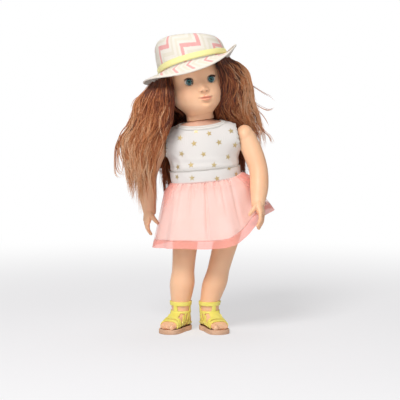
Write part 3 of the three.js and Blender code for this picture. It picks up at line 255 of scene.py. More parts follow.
def tulle_net():
    # Fine nylon net over the lining: sheer where it lies single, coral where its gathers lie close
    made, tree = finish_of("nylon_tulle", Roughness=0.75, Sheen_Weight=0.1)
    across = node(tree, "UVMap", uv_map="cloth").outputs["UV"]
    cells = node(tree, "TexVoronoi", {"Vector": across, "Scale": 1 / 1.4}, feature="DISTANCE_TO_EDGE")
    edge = cells.outputs["Distance"]
    tone = node(tree, "ValToRGB", {"Fac": edge}, [(0.02, "#FF9E90"), (0.16, "#FFB0A3")])
    close = node(tree, "Attribute", attribute_name="closeness").outputs["Fac"]
    return surfaced(made, tone.outputs["Color"], edge, 0.2, Alpha=close)


def moulded(name, tones, roughness, grain_mm, strength, metallic=0.0):
    # Moulded or pressed surface: fine grain in the gloss and slight changes of tone
    made, tree = finish_of(name, Metallic=metallic)
    place, tone = clouded(tree, 12, tones)
    grain = node(tree, "TexNoise", {"Vector": place, "Scale": 1 / (grain_mm * MM), "Detail": 2})
    grain = grain.outputs["Fac"]
    rough = node(tree, "MapRange", {"Value": grain, "To Min": roughness - 0.07, "To Max": roughness + 0.07})
    return surfaced(made, tone, grain, strength, Roughness=rough.outputs["Result"])


def iris_print():
    # Printed iris under a clear dome: a dark pupil, streaks outwards, a dark rim
    made, tree = finish_of("printed_iris", Roughness=0.25)
    across = node(tree, "UVMap", uv_map="cloth").outputs["UV"]
    out = node(tree, "SeparateXYZ", {"Vector": across}).outputs["X"]
    streak = node(tree, "TexNoise", {"Vector": across, "Scale": 9.0, "Detail": 2}).outputs["Fac"]
    jitter = node(tree, "Math", {0: streak, 1: 0.16, 2: out}, operation="MULTIPLY_ADD").outputs[0]
    shade = node(tree, "ValToRGB", {"Fac": jitter}, [
        (0.0, "#041512"), (0.38, "#07231F"), (0.52, "#22605E"), (0.8, "#5A969A"), (0.97, "#4A7C86"),
        (1.0, "#2B4A54")])
    return surfaced(made, shade.outputs["Color"])


SKIN = vinyl_skin()
HAIR = hair_fibre()
PACKED_HAIR = hair_mass()
# The hat: large zigzags on the crown, small ones round the brim, plain cream cloth inside
CROWN_CANVAS = hat_canvas("printed_canvas_crown", -42, (4, 12, 0), 16, 34, 6.4)
BRIM_CANVAS = hat_canvas("printed_canvas_brim", 90, (0, 8, 0), 11, 25, 4.0)
BRIM_LINING = woven("plain_canvas", ("#EDE4D8", "#F2EADF"), 1.2, 0.9, 0.4)
# Pale yellow ribbon, its fine cross ribs catching the light, their crests also painted lighter
RIBBON = ribbed("grosgrain_ribbon", ("#F8EE8C", "#FCF6B4"), 1.1, 0.5, 0.4, "X", 0.1)
# The dress: matt off-white knit with fine upright ribs, bound in a coarser rib, over a pale pink lining
JERSEY = ribbed("cotton_jersey", ("#E0DBD6", "#E6E2DE"), 1.0, 0.9, 0.25, "X", 0.1)
JERSEY_BINDING = ribbed("jersey_binding", ("#D2CCC3", "#E6E2DC"), 1.7, 0.9, 1.0, "Y", 0.1)
LINING = woven("polyester_lining", ("#FDE6DC", "#FEECE4"), 0.9, 0.75, 0.15, 0.1)
TULLE = tulle_net()
# Dull gold print with a slight metal glint
FOIL = moulded("gold_foil", ("#C2A464", "#D6C79E"), 0.5, 3.0, 0.2, 0.5)
# Sandals: smooth lemon straps with a soft gloss, on a matt tan sole
SANDAL = moulded("soft_moulded_plastic", ("#F3E468", "#F7EC80"), 0.42, 1.5, 0.06)
SOLE = moulded("sole_foam", ("#D8AC8C", "#E2BA9C"), 0.75, 1.0, 0.25)
# Matt flesh-coloured weave of the stuffed body
TORSO_CLOTH = woven("cotton_torso_cloth", ("#E2AE92", "#E9BBA2"), 0.8, 0.9, 0.4)
# Eyes: glossy white ball, a clear wet dome, near-black lashes
EYE_WHITE = moulded("eye_white_plastic", ("#EFEDE8", "#F6F5F1"), 0.2, 1.0, 0.0)
IRIS = iris_print()
LENS = finish_of("clear_acrylic_lens", Roughness=0.02, IOR=1.45, Alpha=0.12, Base_Color=colour("#10201F"))[0]
LASH = moulded("lash_fibre", ("#20130F", "#33211A"), 0.6, 0.6, 0.1)
# Hidden fittings: flesh-coloured hard plastic and bright steel
HARD_PLASTIC = moulded("flesh_hard_plastic", ("#CF8F74", "#D99C82"), 0.5, 1.0, 0.05)
STEEL = moulded("bright_steel", ("#B6BABE", "#C4C8CC"), 0.32, 0.5, 0.1, 1.0)


# Making meshes
def around(count):
    """Angles spaced once round a circle"""
    return np.linspace(0, 2 * np.pi, count, endpoint=False)


def xyz(*parts):
    """Points from their three coordinates, or a map from its two"""
    return np.stack(np.broadcast_arrays(*parts), -1)


def oval(rx, ry, z, sides):
    return xyz(np.cos(around(sides)) * rx, np.sin(around(sides)) * ry, z)


def ball(half, radius, rows):
    """Rings of a flattened ball round the X axis"""
    c, s = np.cos(around(32)), np.sin(around(32))
    return [xyz(half * math.cos(b), radius * math.sin(b) * c, radius * math.sin(b) * s)
            for b in np.linspace(0.08, math.pi - 0.08, rows)]


def unit(ways):
    return ways / np.linalg.norm(ways, axis=-1)[..., None]


def round_trip(line):
    """Direction along a closed line at each of its points"""
    return np.roll(line, -1, 0) - np.roll(line, 1, 0)


def bow(value, power):
    """A sine or cosine drawn towards a square or a diamond"""
    return np.sign(value) * np.abs(value) ** power


def step(value, low, high):
    t = np.clip((np.asarray(value, float) - low) / (high - low), 0, 1)
    return t * t * (3 - 2 * t)


def bell(value, width):
    return np.exp(-(np.asarray(value, float) / width) ** 2)


def map_cloth(mesh, maps):
    """Gives a mesh its own map in millimetres, from a pair for each of its points"""
    layer = mesh.uv_layers.new(name="cloth")
    loops = np.zeros(len(mesh.loops), np.int32)
    mesh.loops.foreach_get("vertex_index", loops)
    layer.data.foreach_set("uv", np.asarray(maps, np.float32).reshape(-1, 2)[loops].ravel())


def painted(made, paint):
    """Gives a piece one finish and a smooth surface"""
    made.data.materials.clear()
    made.data.materials.append(paint)
    made.data.polygons.foreach_set("use_smooth", [True] * len(made.data.polygons))
    return made


def piece(name, points, faces, place, paint, maps=None):
    """A mesh object from points in millimetres in one of the doll's frames, kept at the origin in metres"""
    mesh = bpy.data.meshes.new(name)
    mesh.from_pydata(np.asarray(points, float).reshape(-1, 3).tolist(), [], faces)
    if maps is not None:
        map_cloth(mesh, maps)
    mesh.transform(TO_METRES @ place)
    made = bpy.data.objects.new(name, mesh)
    bpy.context.scene.collection.objects.link(made)
    painted(made, paint)
    mesh.update()
    return made


def eased(at, stations, values):
    """Values eased between their stations, without overshoot"""
    x, y = np.asarray(stations, float), np.asarray(values, float)
    at = np.asarray(at, float)
    h = np.diff(x)
    d = np.diff(y) / h
    m = np.zeros_like(y)
    same = d[:-1] * d[1:] > 0
    m[1:-1][same] = 2 * d[:-1][same] * d[1:][same] / (d[:-1] + d[1:])[same]
    m[0], m[-1] = d[0], d[-1]
    i = np.clip(np.searchsorted(x, at) - 1, 0, len(h) - 1)
    t = np.clip((at - x[i]) / h[i], 0, 1)
    a = y[i] * (1 + 2 * t) * (1 - t) ** 2 + y[i + 1] * t * t * (3 - 2 * t)
    return a + h[i] * (m[i] * t * (1 - t) ** 2 - m[i + 1] * t * t * (1 - t))


def sizes_at(at, rows):
    """The other columns of a table of sizes, eased at values of its first column"""
    return [eased(at, rows[:, 0], column) for column in rows[:, 1:].T]


def spline(points, count):
    """Points spaced along a smooth curve through the given ones"""
    p = np.asarray(points, float)
    ends = np.vstack([2 * p[0] - p[1], p, 2 * p[-1] - p[-2]])
    t = np.linspace(0, len(p) - 1, count)
    i = np.clip(t.astype(int), 0, len(p) - 2)
    u = (t - i)[:, None]
    p0, p1, p2, p3 = ends[i], ends[i + 1], ends[i + 2], ends[i + 3]
    return p1 + 0.5 * u * (p2 - p0 + u * (2 * p0 - 5 * p1 + 4 * p2 - p3 + u * (3 * (p1 - p2) + p3 - p0)))


def grid_faces(rows, sides, wrap=True, start=0, closed=False):
    """Faces between rows of points; they may come round along a row, and from the last row to the first"""
    faces = []
    for r in range(rows if closed else rows - 1):
        low, high = start + r * sides, start + (r + 1) % rows * sides
        for i in range(sides if wrap else sides - 1):
            j = (i + 1) % sides
            faces.append((low + i, low + j, high + j, high + i))
    return faces


def capped(rings, caps=(True, True)):
    """Points and faces of a closed skin over rings with as many points each"""
    rings = np.asarray(rings, float)
    rows, sides = rings.shape[:2]
    faces = grid_faces(rows, sides)
    if caps[0]:
        faces.append(tuple(range(sides))[::-1])
    if caps[1]:
        faces.append(tuple(range((rows - 1) * sides, rows * sides)))
    return rings.reshape(-1, 3), faces


def tube(points, widths, depths, rings, sides):
    """Oval rings round a curve, with a half width sideways and a half depth across it"""
    line = spline(points, rings)
    along = unit(np.gradient(line, axis=0))
    t = np.linspace(0, 1, rings)
    w, d = (eased(t, np.linspace(0, 1, len(sizes)), sizes) for sizes in (widths, depths))
    a = unit(np.array([1.0, 0, 0]) - along * along[:, :1])
    b = np.cross(along, a)
    angle = around(sides)
    return (line[:, None] + a[:, None] * (np.cos(angle) * w[:, None])[:, :, None]
            + b[:, None] * (np.sin(angle) * d[:, None])[:, :, None])


def rounded_end(rings, radius):
    """Adds a round end of three rings to a tube"""
    centre = rings[-1].mean(0)
    out = unit(centre - rings[-2].mean(0))
    extra = [centre + out * radius * math.sin(a) + (rings[-1] - centre) * math.cos(a)
             for a in (0.5, 0.95, 1.35)]
    return np.array([*rings, *extra])


def alone(made):
    bpy.ops.object.select_all(action="DESELECT")
    made.select_set(True)
    bpy.context.view_layer.objects.active = made


def modify(made, kind, **settings):
    """Adds a modifier and applies it"""
    alone(made)
    modifier = made.modifiers.new(kind, kind)
    for key, value in settings.items():
        setattr(modifier, key, value)
    bpy.ops.object.modifier_apply(modifier=modifier.name)
    return made


def edited(made, operation, **settings):
    """Makes one edit to the whole of a piece's mesh"""
    alone(made)
    bpy.ops.object.mode_set(mode="EDIT")
    bpy.ops.mesh.select_all(action="SELECT")
    operation(**settings)
    bpy.ops.object.mode_set(mode="OBJECT")
    return made


def outward(made):
    return edited(made, bpy.ops.mesh.normals_make_consistent, inside=False)


def joined(pieces, name):
    bpy.ops.object.select_all(action="DESELECT")
    for made in pieces:
        made.select_set(True)
    bpy.context.view_layer.objects.active = pieces[0]
    if len(pieces) > 1:
        bpy.ops.object.join()
    pieces[0].name = name
    pieces[0].data.name = name
    return pieces[0]


def melted(pieces, name, voxel_mm, passes, paint):
    """Joins closed forms into one smooth skin"""
    made = outward(joined(pieces, name))
    modify(made, "REMESH", mode="VOXEL", voxel_size=voxel_mm * MM, use_smooth_shade=True)
    modify(made, "SMOOTH", factor=0.5, iterations=passes)
    return painted(made, paint)


def carve(made, cutter):
    modify(made, "BOOLEAN", object=cutter, operation="DIFFERENCE", solver="EXACT")
    bpy.data.objects.remove(cutter)


def attribute(made, name, values):
    layer = made.data.attributes.new(name, "FLOAT", "POINT")
    layer.data.foreach_set("value", np.asarray(values, np.float32).ravel())


def points_of(made, place):
    """A piece's points in millimetres in one of the doll's frames"""
    co = np.zeros(len(made.data.vertices) * 3)
    made.data.vertices.foreach_get("co", co)
    back = np.array((TO_METRES @ place).inverted())
    return co.reshape(-1, 3) @ back[:3, :3].T + back[:3, 3]


def settle(made, body, slot, *nodes):
    """A piece rides on its body and stands for its solids; the slot is not used"""
    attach(made, body)
    if nodes:
        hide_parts(*nodes)
    return made


# Head: neck, jaw, cheeks and skull, with the face raised from them
HEAD_ROWS = np.array([
    [0, 21, 19.5, 21], [7.9, 20.5, 20, 21], [11.9, 22, 31, 23.5], [17.2, 26.5, 41, 28], [26, 35, 46, 37],
    [40, 41, 48.5, 45], [59.5, 44, 48.5, 49], [80, 44.5, 49, 50], [98, 42.5, 47, 49],
    [107.5, 37.5, 40.5, 43], [115.5, 29, 29, 31], [120.5, 14, 14, 15], [121.5, 2, 2, 2]])
HEAD_TOP = HEAD_ROWS[-1, 0]
HEAD_SQUARE = 2.3
EYE_X, EYE_Y, EYE_Z, EYE_RADIUS = 17, -35.5, 59.5, 8.5
EYE_HALF, EYE_UP, EYE_DOWN = 6.5, 6.1, 5.5
EYE_ROOM = 9.5
EYE_TILT = 3
FACE_SLANT = 0.18
MOUTH_BOW, MOUTH_Z = 0.012, 32.8
EYE_PLACE = {name: HEAD @ shift(side * EYE_X, EYE_Y, EYE_Z) for name, side in SIDE.items()}


def head_shape(phi, z, grow=0.0):
    """Points of the head form at angles from the front and heights from the bottom of the neck"""
    rx, front, back = (size + grow for size in sizes_at(z, HEAD_ROWS))
    depth = np.where(np.cos(phi) > 0, front, back)
    reach = np.abs(np.sin(phi) / rx) ** HEAD_SQUARE + np.abs(np.cos(phi) / depth) ** HEAD_SQUARE
    reach = reach ** (-1 / HEAD_SQUARE)
    return xyz(np.sin(phi) * reach, -np.cos(phi) * reach, z)


def face_relief(plain, z):
    """How far the face stands out of the plain head form"""
    x = plain - FACE_SLANT * (EYE_Z - z)
    a = np.abs(x)
    ridge = eased(z, [40, 42.2, 43.4, 44.6, 47.2, 50, 54, 59, 66], [0, 0.6, 3.2, 6.0, 7.0, 4.7, 2.0, 0.8, 0])
    spread = eased(z, [40, 44, 48, 55, 68], [5.8, 5.5, 5.2, 5.4, 6.0])
    # Nose, its wings and nostrils
    relief = ridge * bell(x, spread)
    relief += 2.8 * bell(a - 5.9, 2.1) * bell(z - 45.0, 2.4)
    relief -= 1.8 * bell(a - 3.6, 1.2) * bell(z - 43.0, 0.9)
    # Upper lip with its two peaks, lower lip, the line between them and the corners
    corner = MOUTH_BOW * x * x
    peak = 0.55 * bell(a - 2.6, 2.0)
    relief += 2.2 * np.exp(-(x / 8.2) ** 4) * bell(z - 34.8 - peak - 0.3 * corner, 1.7)
    relief += 3.0 * np.exp(-(x / 6.8) ** 4) * bell(z - 30.6 - 0.6 * corner, 2.1)
    relief -= 1.8 * np.exp(-(x / 8.8) ** 6) * bell(z - MOUTH_Z - corner, 0.6)
    relief -= 0.8 * bell(a - 9.6, 1.6) * bell(z - 33.8, 1.6)
    # Groove under the nose, hollow under the lip, chin
    relief -= 0.6 * bell(x, 1.3) * bell(z - 37.6, 1.6)
    relief -= 1.5 * bell(x, 8) * bell(z - 26.0, 2.4)
    relief += 3.2 * bell(x, 9) * bell(z - 18.5, 5.5)
    # Cheeks, eye hollows, brows
    a = np.abs(plain)
    relief += 2.4 * bell(a - 24, 11) * bell(z - 41, 12)
    relief -= 1.8 * bell(a - EYE_X, 8.5) * bell(z - EYE_Z - 0.5, 7.0)
    relief += 0.8 * bell(a - 18, 11) * bell(z - 72, 4.5)
    return relief


def paint_face(made):
    """Where the head is painted: lips, cheeks, painted shade in the nostrils and round the mouth, lid lines
    """
    plain, y, h = points_of(made, HEAD).T
    facing = step(-y, 20, 34)
    x = plain - FACE_SLANT * (EYE_Z - h)
    a, whole = np.abs(x), np.abs(plain)
    corner = MOUTH_BOW * x * x
    top = 36.3 + 0.5 * bell(a - 2.6, 1.8) - 0.35 * bell(x, 1.2) - 2.7 * (a / 9.4) ** 2
    low = 28.7 + 4.6 * (a / 9.4) ** 2.4
    lips = step(top - h, -0.5, 0.5) * step(h - low, -0.5, 0.6) * step(9.6 - a, -0.5, 0.8)
    # The lips are painted; their colour is deeper on the upper lip, which faces down, and along the line
    # between them as painted shade
    lips = lips * (0.5 + 0.2 * step(h, 32.5, 33.2) + 0.3 * bell(h - MOUTH_Z - corner, 0.8))
    attribute(made, "lip", facing * lips)
    attribute(made, "blush", facing * 0.16 * bell(whole - 25, 11) * bell(h - 43, 9))
    # Painted shade: in the nostrils, at the mouth corners, in the hollow under the lower lip and along the
    # line between the lips
    shade = 0.8 * bell(a - 3.7, 1.4) * bell(h - 43.2, 1.0) + 0.35 * bell(a - 10.2, 1.6) * bell(h - 33.8, 1.2)
    shade += 0.22 * bell(a, 5) * bell(h - 26.6, 1.6) + 0.3 * bell(h - 32.9 - corner, 0.5) * step(9 - a, 0, 2)
    attribute(made, "shade", step(-y, 36, 40) * shade)
    ex, ez = whole - EYE_X, h - EYE_Z
    reach = np.hypot(ex / EYE_HALF, ez / np.where(ez > 0, EYE_UP, EYE_DOWN))
    rim = step(1.22 - reach, 0, 0.2) * (0.08 + 0.62 * step(ez, 0.5, 4.5))
    attribute(made, "liner", facing * np.clip(rim, 0, 1) * step(-y, 38, 40))


def make_head():
    phi = np.radians(np.concatenate([np.linspace(-78, 78, 150), np.linspace(78, 282, 44)[1:-1]]))
    z = np.concatenate([np.linspace(0, 12, 9), np.linspace(12, 86, 88)[1:],
                        np.linspace(86, HEAD_TOP, 18)[1:]])
    pp, zz = np.meshgrid(phi, z)
    rings = head_shape(pp, zz)
    rings[..., 1] -= step(np.cos(pp), 0.1, 0.45) * face_relief(rings[..., 0], zz)
    made = piece("head", *capped(rings), HEAD, SKIN)
    for name, side in SIDE.items():
        tilt = side * math.radians(EYE_TILT)
        u, v = EYE_HALF * np.cos(around(40)), np.sin(around(40))
        v = np.where(v > 0, EYE_UP, EYE_DOWN) * bow(v, 1.05)
        x = u * math.cos(tilt) - v * math.sin(tilt) + side * EYE_X
        h = u * math.sin(tilt) + v * math.cos(tilt) + EYE_Z
        carve(made, outward(piece("opening", *capped([xyz(x, y, h) for y in (-60, EYE_Y)]), HEAD, SKIN)))
        bpy.ops.mesh.primitive_uv_sphere_add(segments=40, ring_count=24, radius=EYE_ROOM * MM)
        room = bpy.context.active_object
        room.data.transform(TO_METRES @ EYE_PLACE[name] @ TO_MM)
        carve(made, room)
    painted(made, SKIN)
    paint_face(made)
    settle(made, "head", "skin_vinyl", "head_shell")


make_head()


# Sleep eyes: ball, printed iris, clear dome, lid and lashes, all on one axle
IRIS_RADIUS, LENS_RADIUS, LID_GROW = 4.35, 5.2, 0.45
LID_OPEN = 33
LASHES = 40


def cup(radius, grow, rise):
    """A disc lying on the eyeball, raised in its middle, and its map outwards and round"""
    tt, rr = np.meshgrid(np.linspace(0.02, 1, 12), around(40), indexing="ij")
    y = -np.sqrt((EYE_RADIUS + grow) ** 2 - (radius * tt) ** 2) - rise * (1 - tt ** 2)
    rings = xyz(radius * tt * np.cos(rr), y, radius * tt * np.sin(rr))
    return capped(rings, (True, False)), xyz(tt, rr / (2 * np.pi) * 6)


def make_lashes(name, place):
    points, faces = [], []
    thin = [0.24, 0.2, 0.06]
    for k in range(LASHES):
        x = -6.4 + 12.8 * (k // 2) / (LASHES // 2 - 1)
        rise = math.radians(24 + 8 * (k % 2))
        reach = math.sqrt(max(0.1, (EYE_RADIUS + 0.5) ** 2 - x * x))
        root = np.array([x, -reach * math.cos(rise), reach * math.sin(rise)])
        tip = root + np.array([x * 0.13, -2.6 + 0.02 * x * x, 2.7 - 0.5 * (k % 2)])
        middle = (root + tip) / 2 + np.array([0, -0.7, -0.5])
        p, f = capped(tube([root, middle, tip], thin, thin, 5, 4))
        faces += [tuple(i + len(points) for i in face) for face in f]
        points += p.tolist()
    settle(piece(f"lash_{name}_fringe", points, faces, place, LASH), "eyes", "lash_fibre", f"lash_{name}")


def make_eye(name, place):
    aa, rr = np.meshgrid(np.linspace(0, math.pi, 34)[1:-1], around(56), indexing="ij")
    globe = xyz(np.sin(aa) * np.cos(rr), -np.cos(aa), np.sin(aa) * np.sin(rr))
    made = outward(piece(f"eyeball_{name}_ball", *capped(EYE_RADIUS * globe), place, EYE_WHITE))
    settle(made, "eyes", "eye_white", f"eyeball_{name}")
    made = outward(piece(f"eyelid_{name}_ball", *capped((EYE_RADIUS + LID_GROW) * globe), place, SKIN))
    bpy.ops.mesh.primitive_cube_add(size=40 * MM)
    block = bpy.context.active_object
    for move in (shift(0, 0, -20 * MM), turn("X", -LID_OPEN), TO_METRES @ place @ TO_MM):
        block.data.transform(move)
    carve(made, block)
    made.data.materials.clear()
    made.data.materials.append(SKIN)
    settle(made, "eyes", "skin_vinyl", f"eyelid_{name}")
    disc, maps = cup(IRIS_RADIUS, 0.12, 0)
    settle(piece(f"iris_{name}_print", *disc, place, IRIS, maps), "eyes", "iris", f"iris_{name}")
    disc, _ = cup(LENS_RADIUS, 0.25, 0.7)
    settle(piece(f"lens_{name}_dome", *disc, place, LENS), "eyes", "lens", f"lens_{name}")
    make_lashes(name, place)


for name, place in EYE_PLACE.items():
    make_eye(name, place)


# Torso of cloth, firmly stuffed, with a keel between the hips
TORSO_ROWS = np.array([
    [28.2, 41.5, 25], [37.2, 46.5, 31], [58, 49.5, 33], [103, 51, 31], [121, 50, 28.5], [133, 46, 25],
    [140, 38, 22], [144, 25, 20]])
KEEL_ROWS = np.array([[-17, 6, 7], [-11, 9.5, 14], [4, 10, 19], [34, 10, 22]])
# Millimetres of cloth to a radian round the torso
TORSO_MAP = 42


def torso_shape(angle, z, grow=0.0):
    rx, ry = (size + grow for size in sizes_at(z, TORSO_ROWS))
    return xyz(np.cos(angle) * rx, np.sin(angle) * ry, z)


def make_torso():
    aa, zz = np.meshgrid(around(72), np.linspace(*TORSO_ROWS[[0, -1], 0], 48))
    body = piece("torso_body", *capped(torso_shape(aa, zz)), TORSO, TORSO_CLOTH)
    rings = [oval(*sizes_at(z, KEEL_ROWS), z, 32) for z in np.linspace(*KEEL_ROWS[[0, -1], 0], 20)]
    keel = piece("torso_keel", *capped(rings), TORSO @ turn("Y", TORSO_LEAN), TORSO_CLOTH)
    rings = [oval(r, r * 0.97, z, 40) for z, r in ((138, 21), (144, 20.5), (146, 19.6), (146.4, 18))]
    collar = piece("torso_collar", *capped(rings), TORSO, TORSO_CLOTH)
    made = melted([body, keel, collar], "torso_cloth_body", 1.4, 4, TORSO_CLOTH)
    x, y, z = points_of(made, TORSO).T
    map_cloth(made.data, xyz(np.arctan2(y, x) * TORSO_MAP, z))
    settle(made, "torso", "torso_cloth", "torso_cover", "torso_stuffing")


make_torso()

# Arms with hands
FINGER_SPREAD, FINGER_LENGTH = 8.9, 23


def limb_part(rings, place):
    return piece("limb_part", *capped(rings), place, SKIN)


def make_arm(name, side):
    def at(x, y, z):
        return np.array([side * x, y, z], float)

    elbow = at(15.4, -2, -54.7)
    wrist = elbow + at(-5.4, -10.8, -52.4)
    middle = (elbow + wrist) / 2 + at(1.5, 1, 0)
    place = ARM[name]
    hand = place @ shift(*wrist) @ turn("Z", side * 78)
    arm = tube([at(0, 0, 0), at(9.7, -0.5, -27.4), elbow, middle, wrist, wrist + at(0, -1, -6)],
               [15.5, 15.4, 14.4, 14.2, 10.7, 10.0], [15.5, 15.4, 14.3, 13.8, 9.6, 9.0], 40, 28)
    knuckle = at(-4.6, -4.2, -20)
    palm = tube([at(0, 0, 8), at(0, 0, 0), knuckle * 0.5, knuckle],
                [7, 9.8, 11.8, 11.4], [6, 8.4, 6.8, 5.2], 16, 24)
    parts = [limb_part(arm, place), limb_part(ball(13.9, 17, 20), place), limb_part(palm, hand)]
    for i, spot in enumerate((-1, -0.33, 0.33, 1)):
        base = knuckle + at(spot * FINGER_SPREAD, 0, 3)
        tip = knuckle + at(spot * FINGER_SPREAD * 0.8 - 1.0, 6.5, 2 - FINGER_LENGTH + 2.2 * abs(i - 1.6))
        bend = base * 0.45 + tip * 0.55 + at(0, -2.4, 0)
        finger = tube([base, bend, tip], [3.1, 2.9, 2.3], [3.2, 2.9, 2.2], 10, 12)
        parts.append(limb_part(rounded_end(finger, 2.0), hand))
    base = knuckle * 0.35 + at(-7, 1, 0)
    tip = base + at(-5, 13, -12)
    bend = (base + tip) / 2 + at(-2.2, -0.5, 2)
    thumb = tube([base - at(-2, 0, -4), bend, tip], [4.6, 3.7, 2.7], [4.4, 3.5, 2.5], 10, 12)
    parts.append(limb_part(rounded_end(thumb, 2.3), hand))
    made = melted(parts, f"arm_{name}_vinyl", 0.7, 6, SKIN)
    settle(made, f"{name}_arm", "skin_vinyl", f"arm_{name}")


for name, side in SIDE.items():
    make_arm(name, side)

# Legs with feet: half width and extra depth up the leg, width and height along the foot from the heel
LEG_ROWS = np.array([
    [-159.6, 13.5, 1], [-136, 15, 1], [-122.4, 17.2, 1], [-106, 19.2, 1], [-85.7, 17.4, 0.6], [-68, 18, 1.2],
    [-51.7, 19, 1], [-25.8, 20, 1.5], [0, 20, 2]])
FOOT_ROWS = np.array([
    [-18, 6, 12], [-14, 10.5, 20], [-6, 12.5, 31], [6, 12.5, 29], [18, 13.2, 21], [30, 14, 14], [39, 13.5, 9],
    [45, 9.5, 5.5]])
FOOT_BOTTOM = 6.35
KNEE_Z = -72
HIP_BOSS, HIP_BOSS_RADIUS = 23.9, 13


def make_leg(name, side):
    place, foot = LEG[name], FOOT[name]
    c, s = np.cos(around(32)), np.sin(around(32))
    rings = []
    for z in np.linspace(-160, 0, 48):
        half, more = sizes_at(z, LEG_ROWS)
        ring = oval(half, half + more, z, 32)
        ring[:, 0] += ANKLE_SHIFT[name] * np.clip((-z - 10) / 126, 0, 1)
        ring[:, 1] += 2
        ring[:, 1] -= math.exp(-((z - KNEE_Z) / 9) ** 2) * np.clip(-s, 0, 1) ** 3
        rings.append(ring)
    boss = [xyz(-side * x, HIP_BOSS_RADIUS * c, HIP_BOSS_RADIUS * s) for x in (0.5, HIP_BOSS)]
    parts = [limb_part(form, place) for form in (rings, ball(20, 23, 22), boss)]
    rings = []
    for y in np.linspace(18, -41, 34):
        w, h = sizes_at(-y, FOOT_ROWS)
        rings.append(xyz(bow(c, 0.8) * w, y, FOOT_BOTTOM + h / 2 + bow(s, 0.8) * h / 2))
    parts.append(limb_part(rings, foot))
    for i, spot in enumerate((-1, -0.52, -0.1, 0.3, 0.68)):
        size = 4.3 if i == 0 else 3.0 - 0.1 * i
        x, y = side * (spot * 10.2 + 1), -43.2 + 1.3 * i
        root = np.array([x * 0.94, y + 12, FOOT_BOTTOM + size + 1.2])
        tip = np.array([x, y, FOOT_BOTTOM + size + 0.1])
        toe = tube([root, (root + tip) / 2 + np.array([0, 0, 0.6]), tip], [size] * 3, [size] * 3, 8, 14)
        parts.append(limb_part(rounded_end(toe, size), foot))
    made = melted(parts, f"leg_{name}_vinyl", 0.75, 4, SKIN)
    return settle(made, f"{name}_leg", "skin_vinyl", f"leg_{name}")


legs = {name: make_leg(name, side) for name, side in SIDE.items()}

# Sandals: foam sole, moulded cage of straps laid on the foot, ankle strap
SOLE_EDGE = np.array([[0, 20.2], [-10, 16], [-13.8, 6], [-13.3, -6], [-16.2, -27], [-14.2, -42], [0, -49]])
SOLE_MIDDLE = np.array([0, -14.4])
SOLE_LAYERS = (
    (0.0, 0.955), (0.25, 0.985), (0.9, 1.0), (6.3, 1.0), (7.2, 0.99), (7.6, 0.96), (7.2, 0.93), (6.1, 0.9))
STRAP_LOW = FOOT_BOTTOM + 0.4
ANKLE_Z = 43


def strip(points, width, place, normals=None, count=36, lanes=5):
    """A flat strip along a smooth line on the foot, to be laid on the skin"""
    line = spline(points, count)
    along = unit(np.gradient(line, axis=0))
    if normals is None:
        out = line * np.array([1, 0, 0]) + np.array([0, 0, 1]) * (line[:, 2:3] - FOOT_BOTTOM - 6)
    else:
        out = spline(normals, count)
    across = unit(np.cross(along, out))
    lane = np.linspace(-width / 2, width / 2, lanes)
    points = line[:, None] + across[:, None] * lane[None, :, None]
    return piece("strap_part", points, grid_faces(count, lanes, wrap=False), place, SANDAL)


def laid(parts, name, skin, thick, lift):
    """Lays strips on the skin under them, thickens and rounds them"""
    for made in parts:
        modify(made, "SHRINKWRAP", target=skin, wrap_method="NEAREST_SURFACEPOINT", wrap_mode="ABOVE_SURFACE",
               offset=lift * MM)
        modify(made, "SMOOTH", factor=0.5, iterations=4)
        outward(made)
        modify(made, "SOLIDIFY", thickness=thick * MM, offset=0.0, use_even_offset=True)
        modify(made, "BEVEL", width=0.45 * MM, segments=2, limit_method="ANGLE", angle_limit=0.9)
    return joined(parts, name)


def over_foot(y, wide, top):
    """A line over the foot from one edge of the sole to the other"""
    low = STRAP_LOW
    half = [[wide, y, low], [wide * 0.99, y, low + (top - low) * 0.45], [wide * 0.66, y, top * 0.94 + 1]]
    return [[-x, b, c] for x, b, c in half] + [[0, y, top + 1]] + half[::-1]


